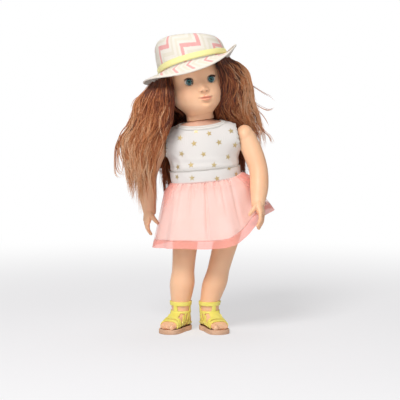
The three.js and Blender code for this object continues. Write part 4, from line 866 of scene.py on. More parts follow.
def make_sandal(name):
    foot, skin, low = FOOT[name], legs[name], STRAP_LOW
    rim = np.vstack([SOLE_EDGE, (SOLE_EDGE[1:-1] * np.array([-1, 1]))[::-1]])
    loop = spline(np.vstack([rim[-2:], rim, rim[:2]]), 12 * (len(rim) + 3) + 1)
    loop = loop[24:24 + 12 * len(rim)] - SOLE_MIDDLE
    rings = [np.column_stack([loop * s + SOLE_MIDDLE, np.full(len(loop), h)]) for h, s in SOLE_LAYERS]
    sole = outward(piece(f"sole_{name}_foam", *capped(rings), foot, SOLE))
    settle(sole, f"{name}_leg", "sole_foam", f"sandal_sole_{name}")

    # Two straps over the toes, the bar and the tongue up the instep, the ring under the ankle
    parts = [strip(over_foot(y, wide, top), width, foot, count=44)
             for y, wide, top, width in ((-33, 16, 19, 6), (-27, 15.5, 22, 7))]
    front = [[0, -0.3, 1], [0, -0.6, 1], [0, -1, 0.5], [0, -1, 0.1], [0, -1, 0]]
    bar = [[0, -26, 23], [0, -19, 27], [0, -13, 32], [0, -15.5, 38], [0, -16.5, ANKLE_Z]]
    parts.append(strip(bar, 7.5, foot, front))
    tongue = [[0, -28, 22], [0, -22, 25], [0, -17, 29], [0, -13.5, 32]]
    parts.append(strip(tongue, 19, foot, front[:4], lanes=13))
    t = np.linspace(0, 2 * np.pi, 13) - math.pi / 2
    ring = [[16.5 * math.cos(a), (17 if math.sin(a) > 0 else 15.5) * math.sin(a), 29.8] for a in t]
    parts.append(strip(ring, 4.6, foot, [[math.cos(a), math.sin(a), 0.05] for a in t], 72))
    # Three slanted straps and an upright on each side, then the heel
    for s in (-1, 1):
        out = [[s, 0, 0.05]] * 3
        for y0, y1, top in ((-24, -13.5, 27), (-16.5, -8, 29), (-9, -2, 29.5)):
            middle = [s * 15, (y0 + y1) / 2 + 1, (low + top) / 2 - 2]
            parts.append(strip([[s * 15.5, y0, low], middle, [s * 14, y1, top]], 3.4, foot, out, 28))
        upright = [[s * 14, 3.5, low], [s * 15.5, 2.5, 24], [s * 15.5, 1.5, 44]]
        parts.append(strip(upright, 5.0, foot, out, 32))
    heel = [[x, y, low + 3] for x, y in ((-15, 0), (-14, 10), (-7, 18), (0, 20), (7, 18), (14, 10), (15, 0))]
    out = [[-1, 0.1, 0], [-0.8, 0.6, 0], [0, 1, 0], [0.8, 0.6, 0], [1, 0.1, 0]]
    parts.append(strip(heel, 7, foot, out, 56))
    back = [[0, 19, low + 2], [0, 18, low + 18], [0, 17, ANKLE_Z]]
    parts.append(strip(back, 11, foot, [[0, 1, 0]] * 3, 30, 9))
    upper = laid(parts, f"cage_{name}_straps", skin, 1.5, 1.05)
    settle(upper, f"{name}_leg", "sandal_plastic", f"sandal_upper_{name}")

    t = np.linspace(0, 2 * np.pi, 9)
    band = [[17 * math.cos(a), 17.5 * math.sin(a), ANKLE_Z] for a in t]
    strap = strip(band, 7.4, foot, [[math.cos(a), math.sin(a), 0] for a in t], 72)
    strap = laid([strap], f"ankle_strap_{name}_band", skin, 1.7, 1.25)
    settle(strap, f"{name}_leg", "sandal_plastic", f"sandal_strap_{name}")


for name in SIDE:
    make_sandal(name)

# Dress: jersey bodice with foil stars, bound edges, waistband
ARMHOLE_CUT, ARMHOLE_REACH, ARMHOLE_RIM, ARMHOLE_Z = 21.0, 53.8, 19.6, 115
ARMHOLE_TILT = 2.4
WAIST_LOW, WAIST_HIGH = 52, 72


def creases(aa, zz):
    """Soft pulls in the jersey from the armholes, and a slack fold above the waistband"""
    pull = 0.7 * np.sin(16 * aa + 0.16 * zz) * bell(zz - 90, 13) * bell(np.abs(np.cos(aa)) - 0.8, 0.25)
    sag = 0.8 * bell(zz - 76.5 - 1.2 * np.sin(3 * aa), 3.0)
    sag = sag + 0.3 * np.sin(0.5 * zz + 3 * aa) * bell(zz - 84, 8)
    return np.clip(pull + sag + 0.3 * np.sin(5 * aa + 0.07 * zz), -0.4, 1.2)


def stood_out(points):
    """Cloth round an armhole stands out from the torso towards the arm"""
    x, y, z = points[..., 0], points[..., 1], points[..., 2] - ARMHOLE_Z
    rho = np.maximum(np.hypot(y, z), 1)
    f = step(ARMHOLE_CUT + 12 - rho, 0, 12) * step(np.abs(x), 20, 30)
    wide = np.abs(x) + f * np.clip(ARMHOLE_REACH - ARMHOLE_TILT * z / rho - np.abs(x), 0, 99)
    scale = 1 + f * ((ARMHOLE_RIM + (rho - ARMHOLE_CUT) * 0.6) / rho - 1)
    return xyz(np.sign(x) * wide, y * scale, z * scale + ARMHOLE_Z)


def neck_height(angle):
    """Height of the neckline round the torso: lower in front"""
    return 145.6 - 7.4 * np.clip(-np.sin(angle), 0, 1) ** 1.5


def make_bodice():
    rows, sides = 64, 176
    aa, zz = np.meshgrid(around(sides), np.linspace(56, 143.6, rows))
    flat = torso_shape(aa, zz, 1.75)
    flat[..., :2] += xyz(np.cos(aa), np.sin(aa)) * creases(aa, zz)[..., None]
    gone = (np.hypot(flat[..., 1], zz - ARMHOLE_Z) < ARMHOLE_CUT - 1) & (np.abs(flat[..., 0]) > 25)
    gone = (gone | (zz > neck_height(aa) - 1.5)).ravel()
    faces = [f for f in grid_faces(rows, sides) if not any(gone[i] for i in f)]
    made = piece("bodice_jersey", stood_out(flat), faces, TORSO, JERSEY, xyz(aa * TORSO_MAP, zz))
    edited(made, bpy.ops.mesh.delete_loose)
    outward(made)
    modify(made, "SOLIDIFY", thickness=0.9 * MM, offset=-1.0)
    settle(made, "torso", "jersey", "bodice_front", "bodice_back_left", "bodice_back_right")
    return made


def flat_band(line, out, width, thick, rib, sides=14):
    """A flat rounded band round a closed line, with a soft rib of puckers"""
    along = unit(round_trip(line))
    across = unit(np.cross(along, out))
    out = np.cross(across, along)
    c, s = bow(np.cos(around(sides)), 0.7), bow(np.sin(around(sides)), 0.7)
    k = np.arange(len(line))
    pucker = 1 + rib * np.sin(k * 2 * np.pi / len(line) * 46 + 2 * np.sin(k * 0.21))
    return (line[:, None] + across[:, None] * (c * width / 2)[None, :, None]
            + out[:, None] * (s * thick / 2)[None, :, None] * pucker[:, None, None])


def banded(name, rings, place, paint):
    """A piece over rings that come round to the first again, with a map in millimetres"""
    count, sides = rings.shape[:2]
    length = np.linalg.norm(np.diff(rings.mean(1), axis=0), axis=1).sum()
    u, v = np.meshgrid(np.linspace(0, length, count), np.linspace(0, 12, sides), indexing="ij")
    return outward(piece(name, rings, grid_faces(count, sides, closed=True), place, paint, xyz(u, v)))


def make_bindings():
    aa = around(240)
    h = neck_height(aa)
    line = torso_shape(aa, h - 3.0, 2.0)
    slope = torso_shape(aa, h - 1.6, 2.0) - torso_shape(aa, h - 6, 2.0)
    out = np.cross(round_trip(line), slope)
    made = banded("neck_binding_band", flat_band(line, out, 7.4, 2.4, 0.10), TORSO, JERSEY_BINDING)
    settle(made, "torso", "jersey", "neck_binding")
    t = around(200)
    rim = ARMHOLE_RIM * (1 + 0.02 * np.sin(13 * t) + 0.012 * np.sin(29 * t + 1))
    for name, side in SIDE.items():
        x = side * (ARMHOLE_REACH - 0.6 - ARMHOLE_TILT * np.sin(t)) + 0.5 * np.sin(17 * t)
        line = xyz(x, rim * np.cos(t), ARMHOLE_Z + rim * np.sin(t))
        out = xyz(0.35 * side, np.cos(t), np.sin(t))
        rings = flat_band(line, out, 4.6, 2.3, 0.25)
        made = banded(f"armhole_binding_{name}_band", rings, TORSO, JERSEY_BINDING)
        settle(made, "torso", "jersey", f"armhole_binding_{name}")


def make_waistband():
    rows, sides = 16, 160
    aa, zz = np.meshgrid(around(sides), np.linspace(WAIST_LOW, WAIST_HIGH, rows))
    height = (zz - WAIST_LOW) / (WAIST_HIGH - WAIST_LOW)
    roll = 0.5 * np.sin(height * math.pi) + 0.15 * np.sin(14 * aa + 0.3 * zz)
    outer = torso_shape(aa, zz, 3.8) + xyz(np.cos(aa), np.sin(aa), 0 * aa) * roll[..., None]
    rings = np.concatenate([outer, torso_shape(aa, zz, 2.0)[::-1]])
    maps = xyz(aa * TORSO_MAP, zz)
    faces = grid_faces(2 * rows, sides, closed=True)
    waist = piece("waistband_jersey", rings, faces, TORSO, JERSEY, np.concatenate([maps, maps[::-1]]))
    settle(outward(waist), "torso", "jersey", "waistband")
    aa = around(240)
    out = xyz(np.cos(aa), np.sin(aa), 0 * aa)
    bands = [flat_band(torso_shape(aa, z, 3.4), out, 2.0, 1.6, 0.2, 8)
             for z in (WAIST_LOW + 0.6, WAIST_HIGH - 0.6)]
    seams = [banded("waist_edge", rings, TORSO, JERSEY_BINDING) for rings in bands]
    settle(joined(seams, "waistband_seams"), "torso", "jersey")
    return waist


def make_closure():
    rows, lanes = 40, 9
    zz, xx = np.meshgrid(np.linspace(72.5, 133, rows), np.linspace(-5, 5, lanes), indexing="ij")
    rx, ry = (size + 2.3 for size in sizes_at(zz, TORSO_ROWS))
    points = xyz(xx, ry * np.sqrt(1 - (xx / rx) ** 2), zz)
    faces = grid_faces(rows, lanes, wrap=False)
    made = outward(piece("closure_strip", points, faces, TORSO, JERSEY, xyz(xx, zz)))
    modify(made, "SOLIDIFY", thickness=0.9 * MM, offset=0.0)
    settle(made, "torso", "jersey", "back_closure")


# Stars on the front, across and down the frame in 400ths of its width; those behind stand in rows
FRAME_STEPS = 400
FRONT_STARS = [
    (180, 138), (194, 143.6), (209, 133.5), (219, 142.4), (181.6, 153.7), (203.5, 154.2), (228, 157),
    (191, 165), (214, 165), (229, 168), (178, 167), (192, 178), (217, 178.5), (236, 174), (177, 177),
    (231, 131), (196, 131), (235, 145)]
BACK_STAR_ROWS, BACK_STARS = (61, 83, 98, 113, 126), 7
STAR_GAP = 0.013
STAR_DENT = 0.42


def make_stars(*cloths):
    """Five-point foil stars scattered over the jersey, laid on its surface"""
    casts = []
    for across, down in FRONT_STARS:
        spot = Vector((across / FRAME_STEPS - 0.5, 0.5 - down / FRAME_STEPS, 0)) * FRAME_WIDTH
        spot.z = -CAMERA_DISTANCE
        casts.append((camera.location.copy(), camera.rotation_euler.to_matrix() @ spot))
    for row, z in enumerate(BACK_STAR_ROWS):
        for k in range(BACK_STARS):
            angle = 0.3 + (k + 0.5 * (row % 2)) * 2.5 / BACK_STARS + 0.08 * rng.uniform(-1, 1)
            out = TORSO.to_3x3() @ Vector((math.cos(angle), math.sin(angle), 0))
            foot = (TORSO @ Vector((0, 0, z + rng.uniform(-2.5, 2.5)))) * MM
            casts.append((foot + out * 0.3, -out))
    points, faces, taken = [], [], []
    for start, way in casts:
        hits = [(cloth, *cloth.ray_cast(start, way.normalized())[:3]) for cloth in cloths]
        hits = [hit for hit in hits if hit[1]]
        if not hits:
            continue
        cloth, _, centre, normal = min(hits, key=lambda hit: (hit[2] - start).length)
        if any((centre - other).length < STAR_GAP for other in taken):
            continue
        taken.append(centre)
        side = Vector((0, 0, 1)).cross(normal).normalized()
        up = normal.cross(side)
        size = rng.uniform(4.7, 5.3) * MM
        spin = rng.uniform(-0.5, 0.5)
        base = len(points)
        for r in (0.02, 0.35, 0.7, 1.0):
            for i in range(10):
                a = spin + math.pi / 2 + i * math.pi / 5
                reach = size * (1.0 if i % 2 == 0 else STAR_DENT) * r
                spot = centre + side * reach * math.cos(a) + up * reach * math.sin(a)
                near = cloth.closest_point_on_mesh(spot + normal * MM)
                points.append(np.array(near[1] + near[2] * 0.3 * MM) / MM)
        faces += grid_faces(4, 10, start=base)
        faces.append(tuple(range(base, base + 10))[::-1])
    settle(piece("foil_stars", points, faces, Matrix.Identity(4), FOIL), "torso", "jersey")


bodice = make_bodice()
make_bindings()
waistband = make_waistband()
make_closure()
make_stars(bodice, waistband)

# Skirt: lining and tulle, gathered into the waistband and falling in folds.
# A fold has its place round the skirt, its depth and width, and where down the skirt it fades
SKIRT_FOLDS = [
    (-1.60, 3.0, 0.030, 0.7, 1.0), (-1.98, 1.7, 0.030, 0.2, 0.7), (-1.88, 1.2, 0.025, 0.1, 0.4),
    (-1.70, 1.2, 0.025, 0.1, 0.4), (-1.36, 1.8, 0.035, 0.15, 0.5), (-1.20, 1.6, 0.030, 0.3, 0.8),
    (-0.90, 2.2, 0.050, 0.5, 1.0), (-2.30, 1.5, 0.040, 0.4, 1.0), (-2.55, 1.2, 0.040, 0.2, 0.6),
    (0.4, 2.0, 0.05, 0.5, 1.0), (1.0, 2.2, 0.05, 0.6, 1.0), (1.6, 2.2, 0.05, 0.7, 1.0),
    (2.2, 2.0, 0.05, 0.5, 1.0), (2.7, 1.8, 0.05, 0.5, 1.0)]
WAIST_HALF, WAIST_DEEP, WAIST_Z = 49.5, 33, 54.5
HEM_SIDE_LIFT, HEM_FAR_LIFT = 44, 5
HAND_ANGLE, HAND_PRESS = -0.55, 9
SKIRT_ROWS, SKIRT_SIDES, SKIRT_TOP = 60, 300, 232
# Layers: stand-off at the waist, height of the hem, flare, wing at the left hand, finish, depth of gathers
SKIRT_LAYERS = {
    "skirt_lining": (2.6, -34, 33, 0, LINING, 0.5),
    "skirt_tulle": (5.4, -45, 37, 5, TULLE, 0.9),
}


def skirt_sheet(name, inside, hem, flare, wing, paint, gather, half):
    """One half of a skirt layer, from front middle to back middle, with its flat width, length and area"""
    angle = np.linspace(-np.pi / 2, np.pi / 2, SKIRT_SIDES) + (0 if half > 0 else np.pi)
    aa, tt = np.meshgrid(angle, np.linspace(0, 1, SKIRT_ROWS) ** 1.15)
    left = np.clip(np.cos(aa - 0.15), 0, 1)
    spread = flare * (0.2 * np.minimum(1, tt / 0.12) + 0.8 * tt)
    crest = 2.0 * np.cos(11 * aa + 0.4) + 1.3 * np.cos(5 * aa + 0.8) + 0.9 * np.cos(17 * aa + 2.0)
    press = bell(aa - HAND_ANGLE, 0.3) * step(tt, 0.2, 0.8)
    fold = tt * crest + wing * tt * left ** 6 - HAND_PRESS * press
    sharp = np.zeros_like(aa)
    for where, depth, width, low, high in SKIRT_FOLDS:
        run = step(tt, 0.0, 0.05) * (1 - step(tt, low, high))
        sharp += depth * run * bell(np.angle(np.exp(1j * (aa - where + 0.05 * tt))), width)
    wave = np.cos(41 * aa + 2.4 * np.sin(7 * aa) + 1.7 * np.sin(13 * aa))
    depth = 0.35 + 0.65 * np.clip(np.sin(6 * aa + 1.0) * np.sin(11 * aa), 0, 1)
    pleat = gather * wave * depth * step(tt, 0.0, 0.04) * (1 - step(tt, 0.05, 0.3))
    reach = inside + 1.5 * left ** 3 + spread + fold - sharp + pleat
    far = np.clip(-np.cos(aa), 0, 1)
    drop = hem + HEM_SIDE_LIFT * left ** 1.7 + HEM_FAR_LIFT * far ** 2 + 1.5 * np.cos(3 * aa + 0.4)
    head = WAIST_Z + 7 * left ** 3
    x, y = np.cos(aa) * (WAIST_HALF + reach), np.sin(aa) * (WAIST_DEEP + reach * 0.8)
    points = xyz(x, y, head + (drop - head) * tt)
    down, across = np.diff(points, axis=0), np.diff(points, axis=1)
    width = np.linalg.norm(across, axis=2).sum(1).max()
    length = np.linalg.norm(down, axis=2).sum(0).mean()
    area = np.linalg.norm(np.cross(down[:, :-1], across[:-1]), axis=2).sum()
    maps = xyz((aa - aa.min()) / np.pi * width, tt * length)
    made = piece(name, points, grid_faces(SKIRT_ROWS, SKIRT_SIDES, wrap=False), TORSO, paint, maps)
    # The net looks closer at the sides, in its gathers and where its folded hem hangs below the lining
    aside = step(np.abs(np.cos(aa)), 0.74, 1.0)
    density = 0.19 + aside * (0.07 + 0.4 * (1 - step(tt, 0.05, 0.6))) + 0.03 * sharp
    density = density + 0.2 * (1 - step(tt, 0.0, 0.22)) * (0.6 - 0.5 * wave * depth)
    below = step(tt + 0.07 * left, 0.868, 0.89)
    density = np.maximum(density, below * (0.76 + 0.04 * aside))
    attribute(made, "closeness", np.clip(density, 0, 0.9))
    return made, width, length, area


def make_skirt():
    for name, side in SIDE.items():
        for kind, layer in SKIRT_LAYERS.items():
            made, width, length, area = skirt_sheet(f"{kind}_{name}_half", *layer, side)
            if kind == "skirt_lining":
                modify(made, "SOLIDIFY", thickness=0.5 * MM, offset=0.0)
            settle(made, "torso", "lining_cloth" if kind == "skirt_lining" else "tulle", kind)
            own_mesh(made)


make_skirt()

# Hat: canvas crown and brim, ribbon, sweatband
HAT_HALF, HAT_DEEP, HAT_TALL = 52.8, 59.5, 46
HAT_SQUARE, HAT_SLOPE = 2 / 2.3, 0.22
CROWN_ROWS = np.array([
    [0, 0, 0], [0.35, 0.4, 0.6], [0.68, 2.6, 3], [0.88, 8.5, 9.5], [0.97, 22, 24], [1.0, 48, 54]])
BRIM_REACH, BRIM_THICK = 22, 1.5
BRIM_ROWS, BRIM_SIDES = 16, 144
# Millimetres of cloth to a radian round crown and brim
CROWN_MAP, BRIM_MAP = 54, 64


def crown_shape(angle, t, grow=0.0):
    """Points of the crown, t from its foot to its top"""
    in_x, in_y = sizes_at(t, CROWN_ROWS)
    x = bow(np.cos(angle), HAT_SQUARE) * (HAT_HALF + grow - in_x)
    y = bow(np.sin(angle), HAT_SQUARE) * (HAT_DEEP + grow - in_y)
    return xyz(x, y, t * (HAT_TALL + grow - HAT_SLOPE * x))


def brim_shape(angle, out, drop):
    """Points of the brim, which hangs down in front and turns up over the left ear"""
    c, s = np.cos(angle), np.sin(angle)
    share = 1 - 0.36 * np.clip(-s, 0, 1) ** 2 - 0.14 * np.clip(c, 0, 1) ** 4 + 0.26 * np.clip(-c, 0, 1) ** 4
    reach = out * BRIM_REACH * share - 1.8
    lift = np.clip((out - 0.12) / 0.88, 0, 1) ** 1.3 * (-0.1 + 10 * c + 8.5 * s + 7.4 * (c * c - s * s))
    x, y = bow(c, HAT_SQUARE) * (HAT_HALF + reach), bow(s, HAT_SQUARE) * (HAT_DEEP + reach)
    return xyz(x, y, lift - 0.35 - drop)


def crown_band(name, rows, wave, paint):
    """A band round the crown through heights and stand-offs of its section"""
    aa = around(200)
    low, high = min(rows)[0], max(rows)[0]
    rings = []
    for h, grow in rows:
        ring = crown_shape(aa, h / HAT_TALL, grow)
        ring[:, 2] = h + wave * np.sin(2 * aa + 0.5) * (h - low) / (high - low)
        rings.append(ring)
    return banded(name, np.array(rings).transpose(1, 0, 2), HAT, paint)


def make_hat():
    t = 1 - (1 - np.linspace(0, 1, 40)) ** 1.6
    t[-1] = 0.9995
    aa, tt = np.meshgrid(around(128), t)
    rings = crown_shape(aa, tt)
    dent = 0.5 * np.sin(3 * aa + 1) * np.sin(tt * 3) + 0.3 * np.sin(7 * aa + 5 * tt)
    rings[..., :2] *= (1 + dent / 60)[..., None]
    length = np.concatenate([[0], np.cumsum(np.linalg.norm(np.diff(rings[:, 0], axis=0), axis=1))])
    maps = xyz(aa * CROWN_MAP, length[:, None])
    made = outward(piece("hat_crown_canvas", *capped(rings, (False, True)), HAT, CROWN_CANVAS, maps))
    modify(made, "SOLIDIFY", thickness=1.4 * MM, offset=-1.0)
    settle(made, "head", "hat_cloth", "hat_crown")

    aa, oo = np.meshgrid(around(BRIM_SIDES), np.linspace(0.02, 1, BRIM_ROWS))
    top, under = brim_shape(aa, oo, 0.0), brim_shape(aa, oo, BRIM_THICK)
    rings = np.concatenate([top, under[::-1]])
    wave = 0.35 * np.sin(6 * aa) * oo
    rings[..., 2] += np.concatenate([wave, wave[::-1]])
    maps = xyz(aa * BRIM_MAP, oo * BRIM_REACH)
    faces = grid_faces(2 * BRIM_ROWS, BRIM_SIDES, closed=True)
    made = piece("hat_brim_canvas", rings, faces, HAT, BRIM_CANVAS, np.concatenate([maps, maps[::-1]]))
    made.data.materials.append(BRIM_LINING)
    for face in made.data.polygons:
        face.material_index = int(face.index >= (BRIM_ROWS - 1) * BRIM_SIDES)
    settle(outward(made), "head", "hat_cloth", "hat_brim")
    aa = around(160)
    line, inner = (brim_shape(aa, out, BRIM_THICK / 2) for out in (0.97, 0.80))
    out = np.cross(line - inner, round_trip(line))
    made = banded("hat_brim_binding", flat_band(line, out, 4.4, 2.6, 0.03, 10), HAT, BRIM_LINING)
    settle(made, "head", "hat_cloth")

    low, high = 1.4, 10.6
    rows = [(low, 0.5), (low + 0.1, 1.2), (low + 3, 1.35), (high - 3, 1.35), (high - 0.1, 1.2), (high, 0.5),
            (high - 0.3, 0.4), (low + 0.3, 0.4)]
    made = crown_band("hat_ribbon_band", rows, 0.35, RIBBON)
    settle(made, "head", "ribbon", "hat_band")
    rows = [(1.2, -2.6), (1.2, -3.6), (12.6, -3.6), (12.6, -2.6)]
    made = crown_band("hat_sweatband_cloth", rows, 0, BRIM_LINING)
    settle(made, "head", "hat_cloth", "hat_sweatband")


make_hat()

# Hair: packed falls with fine strands over them, all rooted under the hat.
# Lines through each fall from root to tip, then single wisps that stand off it
GUIDES = {
    "right": [
        [(-68, -4, 381), (-78, -7, 367), (-89, -9, 353), (-93, -10, 334), (-100, -11, 316),
         (-110, -12, 296), (-110, -13, 276), (-105, -14, 256), (-105, -15, 234), (-103, -15, 209)],
        [(-62, -10, 383), (-70, -14, 369), (-79, -17, 353), (-82, -19, 335), (-89, -21, 317),
         (-98, -22, 297), (-99, -22, 277), (-97, -22, 257), (-97, -21, 235), (-96, -20, 195)],
        [(-56, -17, 385), (-62, -22, 371), (-68, -26, 354), (-72, -29, 336), (-78, -31, 318),
         (-86, -31, 298), (-89, -30, 277), (-88, -28, 257), (-88, -26, 235), (-83, -24, 177)],
        [(-52, -25, 389), (-54, -31, 371), (-58, -35, 355), (-61, -37, 337), (-67, -38, 318),
         (-74, -37, 298), (-79, -35, 278), (-80, -32, 257), (-80, -29, 235), (-77, -27, 187)],
        [(-46, -32, 390), (-46, -38, 372), (-47, -41, 355), (-51, -43, 337), (-56, -43, 319),
         (-62, -41, 298), (-69, -38, 278), (-72, -35, 258), (-72, -32, 236), (-67, -29, 172)],
        [(-40, -37, 390), (-38, -42, 372), (-37, -44, 356), (-40, -45, 337), (-44, -45, 319),
         (-50, -43, 299), (-58, -40, 278), (-63, -37, 258), (-64, -34, 236), (-55, -31, 193)],
    ],
    "left": [
        [(45, 7, 430), (51, 8, 419), (63, 8, 413), (74, 10, 402), (81, 13, 386), (86, 18, 365),
         (90, 24, 344), (98, 30, 324), (105, 33, 302), (108, 35, 262)],
        [(42, -4, 429), (46, -4, 417), (57, -3, 410), (66, 1, 397), (72, 5, 381), (74, 11, 361),
         (77, 18, 342), (84, 25, 324), (92, 31, 304), (101, 36, 265)],
        [(39, -14, 428), (42, -14, 416), (52, -12, 407), (59, -7, 393), (64, -2, 377), (64, 5, 358),
         (65, 13, 340), (72, 21, 324), (81, 30, 306), (96, 36, 269)],
        [(36, -24, 427), (39, -24, 415), (47, -20, 404), (53, -15, 389), (56, -9, 373), (55, -1, 355),
         (54, 8, 339), (60, 17, 324), (71, 29, 308), (91, 37, 272)],
        [(32, -33, 425), (36, -33, 412), (42, -29, 400), (47, -22, 385), (48, -16, 369), (45, -7, 352),
         (44, 3, 337), (49, 14, 323), (60, 27, 309), (86, 37, 274)],
        [(27, -41, 424), (32, -42, 410), (38, -37, 398), (41, -29, 382), (41, -22, 365), (36, -12, 350),
         (34, -2, 336), (39, 10, 323), (51, 26, 311), (81, 38, 277)],
    ],
    "back": [
        [(-47, 6, 384), (-58, 12, 364), (-61, 18, 335), (-58, 24, 300), (-53, 30, 262), (-48, 38, 222),
         (-44, 48, 194)],
        [(-36, 30, 389), (-46, 40, 370), (-49, 44, 340), (-47, 45, 300), (-43, 47, 260), (-37, 53, 222),
         (-33, 61, 189)],
        [(-4, 45, 392), (-8, 53, 371), (-11, 55, 342), (-12, 53, 300), (-10, 53, 258), (-6, 60, 222),
         (-4, 68, 186)],
        [(20, 43, 393), (18, 50, 373), (17, 53, 344), (17, 53, 302), (20, 53, 258), (22, 59, 222),
         (22, 66, 190)],
        [(38, 28, 399), (44, 39, 377), (48, 45, 346), (52, 48, 304), (58, 48, 268), (61, 52, 230),
         (61, 60, 190)],
        [(44, 24, 401), (55, 35, 379), (62, 43, 347), (67, 46, 308), (73, 46, 276), (76, 46, 240),
         (75, 52, 204)],
    ],
}
LOOSE = {
    "right": [
        [(-108, -12, 309), (-117, -12, 298), (-122, -12, 284), (-123, -12, 268), (-123, -12, 255),
         (-122, -12, 244), (-117, -12, 239), (-106, -12, 244)],
        [(-105, -12, 307), (-111, -12, 293), (-114, -12, 281), (-111, -12, 268), (-111, -12, 256),
         (-114, -12, 247), (-119, -12, 241)],
        [(-111, -12, 304), (-119, -12, 289), (-122, -12, 273), (-122, -12, 259), (-120, -12, 250),
         (-115, -12, 244), (-105, -12, 242)],
        [(-100, -14, 318), (-112, -14, 304), (-118, -14, 288), (-119, -14, 272), (-117, -14, 256),
         (-110, -14, 246)],
        [(-102, -10, 322), (-114, -10, 308), (-119, -10, 294), (-120, -10, 280), (-119, -10, 268)],
        [(-98, -16, 316), (-108, -16, 303), (-116, -16, 290), (-117, -16, 276), (-112, -16, 262),
         (-108, -16, 250)],
        [(-85, -8, 362), (-93, -8, 355), (-97, -8, 345), (-98, -8, 335)],
    ],
    "left": [
        [(82, 20, 381), (94, 26, 373), (105, 26, 366), (115, 26, 361), (122, 26, 355)],
        [(84, 20, 358), (96, 26, 347), (108, 26, 341), (117, 26, 342), (122, 26, 347)],
        [(86, 20, 355), (99, 26, 345), (111, 26, 340), (118, 26, 343)],
        [(90, 20, 344), (102, 26, 333), (110, 26, 321), (115, 26, 308)],
        [(97, 26, 319), (106, 26, 307), (114, 26, 299), (118, 26, 291), (120, 26, 284)],
        [(98, 26, 317), (108, 26, 305), (115, 26, 297), (118, 26, 288)],
    ],
}
# Half width and depth of the imported lines, locks, strands to a lock, depth of the locks, tone, how much
# darker towards the last guide as painted shade, how much lighter to the tip, strands to a wisp
FALLS = {
    "right": (7.0, 5.5, 215, 13, 6.5, 0.62, 0.22, 0.6, 8),
    "left": (6.5, 5.5, 165, 12, 6.0, 0.84, 0.78, 0.1, 3),
    "back": (10.0, 5.5, 150, 12, -6.5, 0.4, 0.0, 0.3, 0),
}
LINE_POINTS = 20
STRANDS_PER_PIECE, STRAND_SIDES = 1650, 3


def fall_line(lines, place):
    """A line among the guides of one fall, at places from its first guide to its last"""
    spot = np.clip(place, 0, 0.9999) * (len(lines) - 1)
    i = spot.astype(int)
    u = (spot - i)[:, None]
    k = np.arange(lines.shape[1])
    return lines[i, k] * (1 - u) + lines[i + 1, k] * u


def strands(name, lines, thick, tones, place, lighter_to_tip=0.3):
    """Thin tapered strands along lines of points, each with its own tone"""
    lines = np.asarray(lines, float)
    total, count = lines.shape[:2]
    along = np.gradient(lines, axis=1)
    along /= np.linalg.norm(along, axis=2)[..., None] + 1e-9
    a = np.cross(along, np.array([0.3, -1, 0.1]))
    a /= np.linalg.norm(a, axis=2)[..., None] + 1e-9
    b = np.cross(along, a)
    t = np.linspace(0, 1, count)
    taper = np.minimum(1, 0.5 + 6 * t) * (1 - 0.85 * t ** 6)
    radius = (np.asarray(thick)[:, None] * taper[None, :])[..., None]
    angle = around(STRAND_SIDES)
    rings = (lines[:, :, None] + a[:, :, None] * (np.cos(angle) * radius)[..., None]
             + b[:, :, None] * (np.sin(angle) * radius)[..., None])
    one = np.array(grid_faces(count, STRAND_SIDES))
    faces = (one[None] + (np.arange(total) * count * STRAND_SIDES)[:, None, None]).reshape(-1, 4)
    made = piece(name, rings, faces.tolist(), place, HAIR)
    # Each strand is darker at its root and lighter at its tip
    tone = np.asarray(tones)[:, None] + lighter_to_tip * np.linspace(-0.5, 0.5, count)[None, :]
    attribute(made, "tone", np.clip(np.repeat(tone[:, :, None], STRAND_SIDES, 2), 0, 1))
    return made


def fall_strands(guides, clumps, per_clump, depth, light, shade):
    """Lines for the strands of one fall, in locks that wander, wave and draw in at their tips"""
    fine = 64
    lines = np.array([spline(g, fine) for g in guides])
    made, thick, tones = [], [], []
    u, t = np.linspace(0, 1, fine), np.linspace(0, 1, LINE_POINTS)
    ease = step(u, 0.02, 0.4)
    for _ in range(clumps):
        root = rng.uniform(0, 1)
        sway = 0.17 * np.sin(u * rng.uniform(2, 6) + rng.uniform(0, 6))
        sway = sway + 0.07 * np.sin(u * 12 + rng.uniform(0, 6))
        base = fall_line(lines, root + ease * sway)
        layer = rng.uniform(-0.7, 1.0)
        reach = rng.uniform(0.84, 1.0) if rng.uniform() < 0.8 else rng.uniform(0.6, 0.85)
        swell = rng.uniform(0.8, 2.8)
        turns = rng.uniform(14, 30)
        phase = rng.uniform(0, 6.3, 3)
        swing = [np.sin(turns * u + phase[0]), 0.8 * np.sin(turns * 0.9 * u + phase[1]), 0 * u]
        wave = swell * xyz(*swing)
        base = base + ease[:, None] * wave - np.array([0, depth * layer, 0]) * step(u, 0, 0.15)[:, None]
        # Painted shade: locks that lie deeper in the fall and nearer its last guide, by the face, are darker
        tone = np.clip(light + 0.17 * rng.normal() + 0.12 * layer - shade * root, 0.04, 0.92)
        draw = rng.uniform(0.1, 0.4) if rng.uniform() < 0.7 else rng.uniform(1.0, 1.6)
        spread = np.interp(t, [0, 0.25, 0.6, 1], [0.8, 1, 1, draw])[:, None]
        loose = rng.uniform(1.0, 2.6)
        for _ in range(per_clump):
            size = reach * rng.uniform(0.9, 1.0)
            line = xyz(*(np.interp(t * size, u, part) for part in base.T))
            off = rng.normal(0, 1, 3) * np.array([loose, loose * 0.8, 0])
            stray = rng.uniform() < 0.05
            curl = rng.uniform(0.4, 1.3) * (3.5 if stray else 1)
            free = [np.sin(rng.uniform(9, 16) * t + rng.uniform(0, 6)) for _ in range(2)]
            made.append(line + off * spread + curl * xyz(*free, 0 * t) * step(t, 0.05, 0.5)[:, None])
            glint = 0.35 if rng.uniform() < 0.05 else 0.0
            thick.append(rng.uniform(0.28, 0.46))
            tones.append(np.clip(tone + 0.08 * rng.normal() + glint, 0, 1))
    return made, thick, tones


